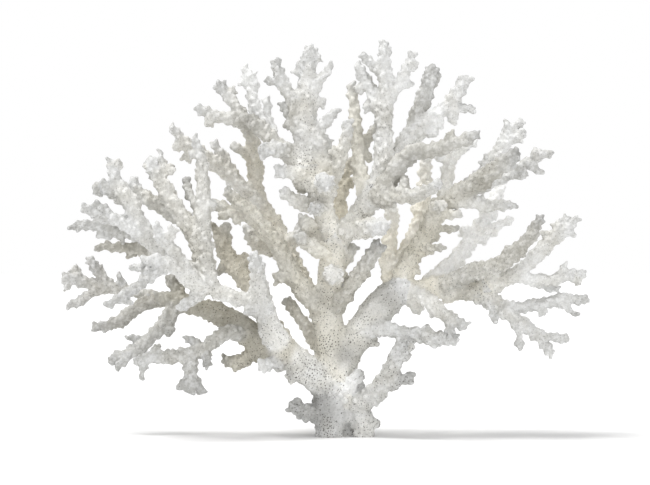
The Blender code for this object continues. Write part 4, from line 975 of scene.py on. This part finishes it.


# Stained hollows and cleaner patches, some real stains and others painted shade and painted light
# where light falls unevenly, such as the shaded left side of the foot: across, up, reach in mm, and
# how much lighter the bone is painted
stainsAndPaintedShade = [
    (-11, 16, 9, -0.6), (11, 7, 7, 0.4), (-1, 43, 6, -0.6), (5, 56, 6, 0.4), (-27, 46, 8, 0.35),
    (-14, 71, 6, -0.45), (-4, 88, 11, 0.45), (-3, 111, 7, 0.45), (-54, 40, 7, 0.4),
    (-44, 62, 9, -0.4), (47, 78, 10, 0.4), (74, 78, 7, 0.4), (59, 73, 6, -0.4), (52, 121, 7, 0.45),
    (26, 146, 7, 0.4), (21, 70, 6, -0.35), (-47, 161, 8, -0.4), (-24, 148, 6, -0.35),
    (-119, 126, 7, -0.35), (28, 81, 6, 0.4), (56, 152, 8, 0.3), (1, 29, 9, 0.55), (35, 68, 6, 0.35),
    (-31, 58, 6, 0.3), (-31, 37, 6, -0.4), (-32, 85, 6, -0.3), (-17, 118, 6, -0.35),
    (-23, 137, 6, 0.3), (-106, 126, 6, 0.3), (15, 125, 6, 0.3), (14, 155, 6, -0.3),
    (31, 140, 5, -0.3),
]


def paintStainsAndShade(points, light):
    for across, up, reach, lighter in stainsAndPaintedShade:
        centre = placePoint(across, up, 0.0)
        apart = np.hypot(points[:, 0] - centre.x, points[:, 2] - centre.z)
        light = light + lighter * np.exp(-(apart / reach) ** 2)
    return light


def growCoral():
    limbLines = {}
    tubes = []
    cupsGrown = []
    dice = random.Random(cups["seed"])
    for name, limb in coralLimbs.items():
        lines = [smoothRoute(branch) for branch in limb["branches"]]
        knobs = [knobLine(knob, lines) for knob in limb.get("knobs", [])]
        limbLines[name] = lines + knobs
        tubes += [domed(line) for line in limbLines[name]]
        for line in limbLines[name]:
            cupsGrown += growCups(domed(line), dice)
    print("branches drawn:", len(tubes), "with", len(cupsGrown), "cups")

    branchMesh = tubesMesh("core", tubes, core["bevelSteps"])
    coreMesh = fusedSkin("core", [branchMesh], core["voxel"], core["smoothRounds"])
    cupMesh = tubesMesh("cups", [cupLine(cup) for cup in cupsGrown], cups["bevelSteps"])
    voxel = fineSkin["voxel"]
    skin = fusedSkin("skin", [coreMesh, cupMesh], voxel, fineSkin["smoothRounds"])
    points, quads = keepOuterSkin(*readSkin(skin))
    bpy.data.meshes.remove(skin)
    print("skin fused:", len(quads), "faces")

    normals = vertexNormals(points, quads)
    points = addLumps(points, normals)
    tree = kdtree.KDTree(len(points))
    for i, place in enumerate(points.tolist()):
        tree.insert(place, i)
    tree.balance()
    pitted = openPits(points, normals, tree, cupsGrown)
    pointOwner, fromTip, radii, tipward = nearestLimb(points, limbLines)
    thin, full = cups["thinBranch"], cups["thickBranch"]
    thick = np.clip((radii - thin) / (full - thin), 0.0, 1.0)
    moved, pore, raised = raiseBeads(points, normals, tree, pitted, thick, fromTip, tipward)
    print("beads and pores made:", int((pore > 0).sum()), "points")

    moved, quads = cutFoot(moved, quads)
    moved = np.clip(moved, np.array(cadLow) / mm, np.array(cadHigh) / mm)
    owner = tidyOwners(quads, nearestLimb(points[quads].mean(1), limbLines)[0])
    # the limbs' tones, partly bone colour and partly painted shade and painted light, softened
    # where limbs meet
    tones = np.array([limb["tone"] for limb in coralLimbs.values()])[pointOwner]
    light, warmth = (spreadOverSkin(tones[:, i], quads, fineSkin["toneRounds"]) for i in (0, 1))
    # real stains plus painted shade and painted light in spots
    light = paintStainsAndShade(moved, light)
    tip = np.exp(-np.maximum(fromTip, 0.0) / fineSkin["tipFade"])
    # painted shade and dust in the hollows between the raised cups and beads, less on thick
    # branches
    crease_shade_and_dust = (1.0 - raised) * between((1.0, fineSkin["thickCreaseShade"]), thick)
    worn, whole = fineSkin["wornReach"]
    fromFoot = np.linalg.norm(moved, axis=1)
    age = np.maximum(thick, np.clip((whole - fromFoot) / (whole - worn), 0.0, 1.0))
    masks = {
        "pore": pore, "crease_shade_and_dust": crease_shade_and_dust, "light": light, "warmth": warmth, "tip": tip, "age": age}
    normals = vertexNormals(moved, quads)
    pieces = {}
    for number, name in enumerate(coralLimbs):
        pieces[name] = closedPiece(name + "_skin", moved, quads[owner == number], normals, masks)
    print("skin parted into", len(pieces), "branches")
    return pieces


# Materials
def addNode(tree, kind, values=None, **settings):
    node = tree.nodes.new(kind)
    for key, value in settings.items():
        setattr(node, key, value)
    for key, value in (values or {}).items():
        node.inputs[key].default_value = value
    return node


def feed(tree, sockets, given):
    # what is given to each socket is another socket or a plain value
    for socket, value in zip(sockets, given):
        if isinstance(value, bpy.types.NodeSocket):
            tree.links.new(value, socket)
        else:
            socket.default_value = value


def mixColours(tree, blend, factor, first, second):
    node = addNode(tree, "ShaderNodeMix", data_type="RGBA", blend_type=blend)
    colourSockets = [socket for socket in node.inputs if socket.type == "RGBA"]
    feed(tree, [node.inputs["Factor"], *colourSockets], (factor, first, second))
    return next(socket for socket in node.outputs if socket.type == "RGBA")


def calculate(tree, operation, first, second=0.0, third=0.0, clamp=False):
    node = addNode(tree, "ShaderNodeMath", operation=operation, use_clamp=clamp)
    feed(tree, node.inputs, (first, second, third))
    return node.outputs["Value"]


def rescale(tree, value, low, high, newLow, newHigh):
    node = addNode(tree, "ShaderNodeMapRange", {
        "From Min": low, "From Max": high, "To Min": newLow, "To Max": newHigh})
    tree.links.new(value, node.inputs["Value"])
    return node.outputs["Result"]


def noiseAt(tree, place, size, detail=2.0, roughness=0.5):
    # size in mm
    node = addNode(tree, "ShaderNodeTexNoise", {
        "Scale": 1.0 / (size * mm), "Detail": detail, "Roughness": roughness})
    tree.links.new(place, node.inputs["Vector"])
    return node.outputs["Fac"]


boneLook = {
    "patchSize": 14.0,          # mm, stains and paler patches
    "patchDetail": 3.0,
    "patchShift": (-0.9, 0.45),
    "dustSize": 0.85,           # mm
    "grainSize": 0.35,
    "fineRoughness": 0.6,       # of the dust and the grain
    # the tips are painted a little darker: painted shade that keeps them from showing bright white
    "tipLight": -0.14,
    "tipWarmth": -0.5,
    # colour that the painted shade and dust of the hollows multiply in
    "creaseShadeTint": (0.77, 0.765, 0.745, 1),
    "speckSpacing": 1.25,       # mm between the pores
    "speckEdge": (0.2025, 0.27),    # share of that spacing
    "speckHeight": -1.5,
    "bumpStrength": 0.6,
    "grainDepth": 0.00012,      # m
    "specular": 0.3,
}
# Each is where a mask starts and ends, and what it gives there
boneRanges = {
    "dustShade": (0.3, 0.7, 0.87, 1.07),
    "dustRoughness": (0.3, 0.7, 0.80, 0.92),
    # light bone gets less of the painted shade and dust in its hollows
    "paleCreaseShade": (0.15, 0.85, 1.0, 0.35),     # light bone has paler hollows
    "openPatch": (0.4, 0.54, 0.25, 1.0),
    "agedSpecks": (0.0, 0.5, 0.6, 1.0),
    "cleanSpecks": (0.5, 1.0, 1.0, 0.5),
    "poreEdge": (0.3, 0.52, 0.0, 1.0),
    "agedPores": (0.0, 0.8, 0.65, 1.0),
}


def makeBoneGroup():
    # colour, roughness and fine height of weathered coral bone
    group = bpy.data.node_groups.new("coralBone", "ShaderNodeTree")
    sockets = [
        ("INPUT", "NodeSocketVector", ["Place"]),
        ("INPUT", "NodeSocketFloat", ["Light", "Warmth", "Tip", "Pore", "Crease_shade_and_dust", "Age"]),
        ("INPUT", "NodeSocketColor", ["Pale Colour", "Dull Colour", "Warm Tint", "Pore Shade Colour"]),
        ("OUTPUT", "NodeSocketColor", ["Colour"]),
        ("OUTPUT", "NodeSocketFloat", ["Roughness", "Height"]),
    ]
    for way, kind, names in sockets:
        for name in names:
            group.interface.new_socket(name=name, in_out=way, socket_type=kind)
    given = addNode(group, "NodeGroupInput")
    result = addNode(group, "NodeGroupOutput")
    place = given.outputs["Place"]

    patches = noiseAt(group, place, boneLook["patchSize"], detail=boneLook["patchDetail"])
    dust = noiseAt(group, place, boneLook["dustSize"], roughness=boneLook["fineRoughness"])
    grain = noiseAt(group, place, boneLook["grainSize"], roughness=boneLook["fineRoughness"])

    def ranged(mask, name):
        return rescale(group, mask, *boneRanges[name])

    def times(first, second):
        return calculate(group, "MULTIPLY", first, second)

    # light and warmth, both shifted by the patches and less at the tips; the lower light at the
    # tips is painted shade
    tip = given.outputs["Tip"]
    shift = calculate(group, "MULTIPLY_ADD", patches, *boneLook["patchShift"])
    light = calculate(group, "ADD", given.outputs["Light"], shift)
    light = calculate(group, "MULTIPLY_ADD", tip, boneLook["tipLight"], light, clamp=True)
    warmth = calculate(group, "SUBTRACT", given.outputs["Warmth"], shift)
    warmth = calculate(group, "MULTIPLY_ADD", tip, boneLook["tipWarmth"], warmth, clamp=True)
    dull, pale = given.outputs["Dull Colour"], given.outputs["Pale Colour"]
    colour = mixColours(group, "MIX", light, dull, pale)
    colour = mixColours(group, "MULTIPLY", warmth, colour, given.outputs["Warm Tint"])
    colour = mixColours(group, "MULTIPLY", 1.0, colour, ranged(dust, "dustShade"))
    # painted shade and dust in the hollows between the beads, less on light bone
    crease_shade_and_dust = times(given.outputs["Crease_shade_and_dust"], ranged(light, "paleCreaseShade"))
    colour = mixColours(group, "MULTIPLY", crease_shade_and_dust, colour, boneLook["creaseShadeTint"])

    # fine pores all over, thickest in the open patches, and the larger ones of the beads and cups
    age = given.outputs["Age"]
    cells = addNode(group, "ShaderNodeTexVoronoi", {
        "Scale": 1.0 / (boneLook["speckSpacing"] * mm), "Randomness": 1.0})
    group.links.new(place, cells.inputs["Vector"])
    specks = rescale(group, cells.outputs["Distance"], *boneLook["speckEdge"], 1.0, 0.0)
    specks = times(specks, times(ranged(patches, "openPatch"), ranged(age, "agedSpecks")))
    specks = times(specks, ranged(light, "cleanSpecks"))
    pores = calculate(group, "MAXIMUM", ranged(given.outputs["Pore"], "poreEdge"), specks)
    # the pores are painted near black: painted shade inside the pits
    poreShade = times(pores, ranged(age, "agedPores"))
    colour = mixColours(group, "MIX", poreShade, colour, given.outputs["Pore Shade Colour"])

    group.links.new(colour, result.inputs["Colour"])
    group.links.new(ranged(dust, "dustRoughness"), result.inputs["Roughness"])
    height = calculate(group, "MULTIPLY_ADD", specks, boneLook["speckHeight"], grain)
    group.links.new(height, result.inputs["Height"])
    return group


# copies of one bone colour for the front, middle and back branches; the back copy's paler light end
# is painted light, and its darker, warmer dull end painted shade
boneFinishesAndPaintedLight = {
    "bone_front": {
        "Pale Colour": (0.90, 0.904, 0.898, 1), "Dull Colour": (0.45, 0.45, 0.442, 1),
        "Warm Tint": (1.0, 0.95, 0.82, 1), "Pore Shade Colour": (0.09, 0.083, 0.072, 1),
    },
    "bone_middle": {
        "Pale Colour": (0.895, 0.898, 0.89, 1), "Dull Colour": (0.445, 0.445, 0.435, 1),
        "Warm Tint": (1.0, 0.95, 0.82, 1), "Pore Shade Colour": (0.09, 0.083, 0.072, 1),
    },
    "bone_back": {
        "Pale Colour": (0.93, 0.93, 0.92, 1), "Dull Colour": (0.44, 0.437, 0.425, 1),
        "Warm Tint": (1.0, 0.945, 0.81, 1), "Pore Shade Colour": (0.09, 0.08, 0.07, 1),
    },
}


def makeBoneMaterial(slotName, boneColours, group):
    material = bpy.data.materials.new(slotName)
    material.use_nodes = True
    tree = material.node_tree
    shader = tree.nodes["Principled BSDF"]
    bone = addNode(tree, "ShaderNodeGroup", boneColours, node_tree=group)
    place = addNode(tree, "ShaderNodeTexCoord")
    tree.links.new(place.outputs["Object"], bone.inputs["Place"])
    for key in ("light", "warmth", "tip", "pore", "crease_shade_and_dust", "age"):
        reader = addNode(tree, "ShaderNodeAttribute", attribute_name=key)
        tree.links.new(reader.outputs["Fac"], bone.inputs[key.capitalize()])
    bump = addNode(tree, "ShaderNodeBump", {
        "Strength": boneLook["bumpStrength"], "Distance": boneLook["grainDepth"]})
    tree.links.new(bone.outputs["Height"], bump.inputs["Height"])
    tree.links.new(bone.outputs["Colour"], shader.inputs["Base Color"])
    tree.links.new(bone.outputs["Roughness"], shader.inputs["Roughness"])
    tree.links.new(bump.outputs["Normal"], shader.inputs["Normal"])
    shader.inputs["Specular IOR Level"].default_value = boneLook["specular"]
    return material


def dressPieces(pieces):
    slots = {part["node"]: part["material_slot"] for part in frame["record"]["subparts"]}
    group = makeBoneGroup()
    materials = {
        slotName: makeBoneMaterial(slotName, boneColours, group)
        for slotName, boneColours in boneFinishesAndPaintedLight.items()}
    for name, piece in pieces.items():
        piece.data.materials.append(materials[slots[name]])
        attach(piece, "root")
        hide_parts(name)


# Floor and light
studio = {
    "floorRadius": 6.0,         # m
    "floorSides": 96,
    "floorColour": (0.95, 0.95, 0.95, 1),
    "floorRoughness": 0.9,
    "cloudSize": 400.0,         # mm
    "cloudShade": (0.99, 1.0),
    "skyColour": (1.0, 1.0, 1.0, 1.0),
    "skyStrength": 0.5,
    "backgroundStrength": 1.0,
    # where each light comes from, its strength and its softness in degrees
    "lights": {
        "keyLight": ((-0.4, -0.1, 1.05), 2.42, 26),
        "fillLight": ((0.15, -0.95, 0.4), 0.95, 60),
    },
}


def makeFloor():
    body = bmesh.new()
    bmesh.ops.create_circle(
        body, cap_ends=True, segments=studio["floorSides"], radius=studio["floorRadius"])
    mesh = bpy.data.meshes.new("floor")
    body.to_mesh(mesh)
    body.free()
    floor = bpy.data.objects.new("floor", mesh)
    bpy.context.scene.collection.objects.link(floor)
    material = bpy.data.materials.new("paleFloor")
    material.use_nodes = True
    tree = material.node_tree
    shader = tree.nodes["Principled BSDF"]
    place = addNode(tree, "ShaderNodeTexCoord")
    cloud = noiseAt(tree, place.outputs["Object"], studio["cloudSize"])
    shade = rescale(tree, cloud, 0.0, 1.0, *studio["cloudShade"])
    colour = mixColours(tree, "MULTIPLY", 1.0, studio["floorColour"], shade)
    tree.links.new(colour, shader.inputs["Base Color"])
    shader.inputs["Roughness"].default_value = studio["floorRoughness"]
    mesh.materials.append(material)


def makeSoftLight(name, cameFrom, strength, softness):
    data = bpy.data.lights.new(name, "SUN")
    data.energy = strength
    data.angle = math.radians(softness)
    lamp = bpy.data.objects.new(name, data)
    lamp.rotation_euler = (-Vector(cameFrom)).to_track_quat("-Z", "Y").to_euler()
    bpy.context.scene.collection.objects.link(lamp)


def makeStudio():
    world = bpy.data.worlds.new("studioWorld")
    world.use_nodes = True
    tree = world.node_tree
    sky = tree.nodes["Background"]
    sky.inputs["Color"].default_value = studio["skyColour"]
    seen = addNode(tree, "ShaderNodeLightPath").outputs["Is Camera Ray"]
    strength = rescale(tree, seen, 0.0, 1.0, studio["skyStrength"], studio["backgroundStrength"])
    tree.links.new(strength, sky.inputs["Strength"])
    bpy.context.scene.world = world
    bpy.context.scene.view_settings.view_transform = "Standard"
    makeFloor()
    for name, lightValues in studio["lights"].items():
        makeSoftLight(name, *lightValues)


makeCamera()
makeStudio()
print("camera and studio set")
coralPieces = growCoral()
dressPieces(coralPieces)
print("bone finish given to", len(coralPieces), "pieces")
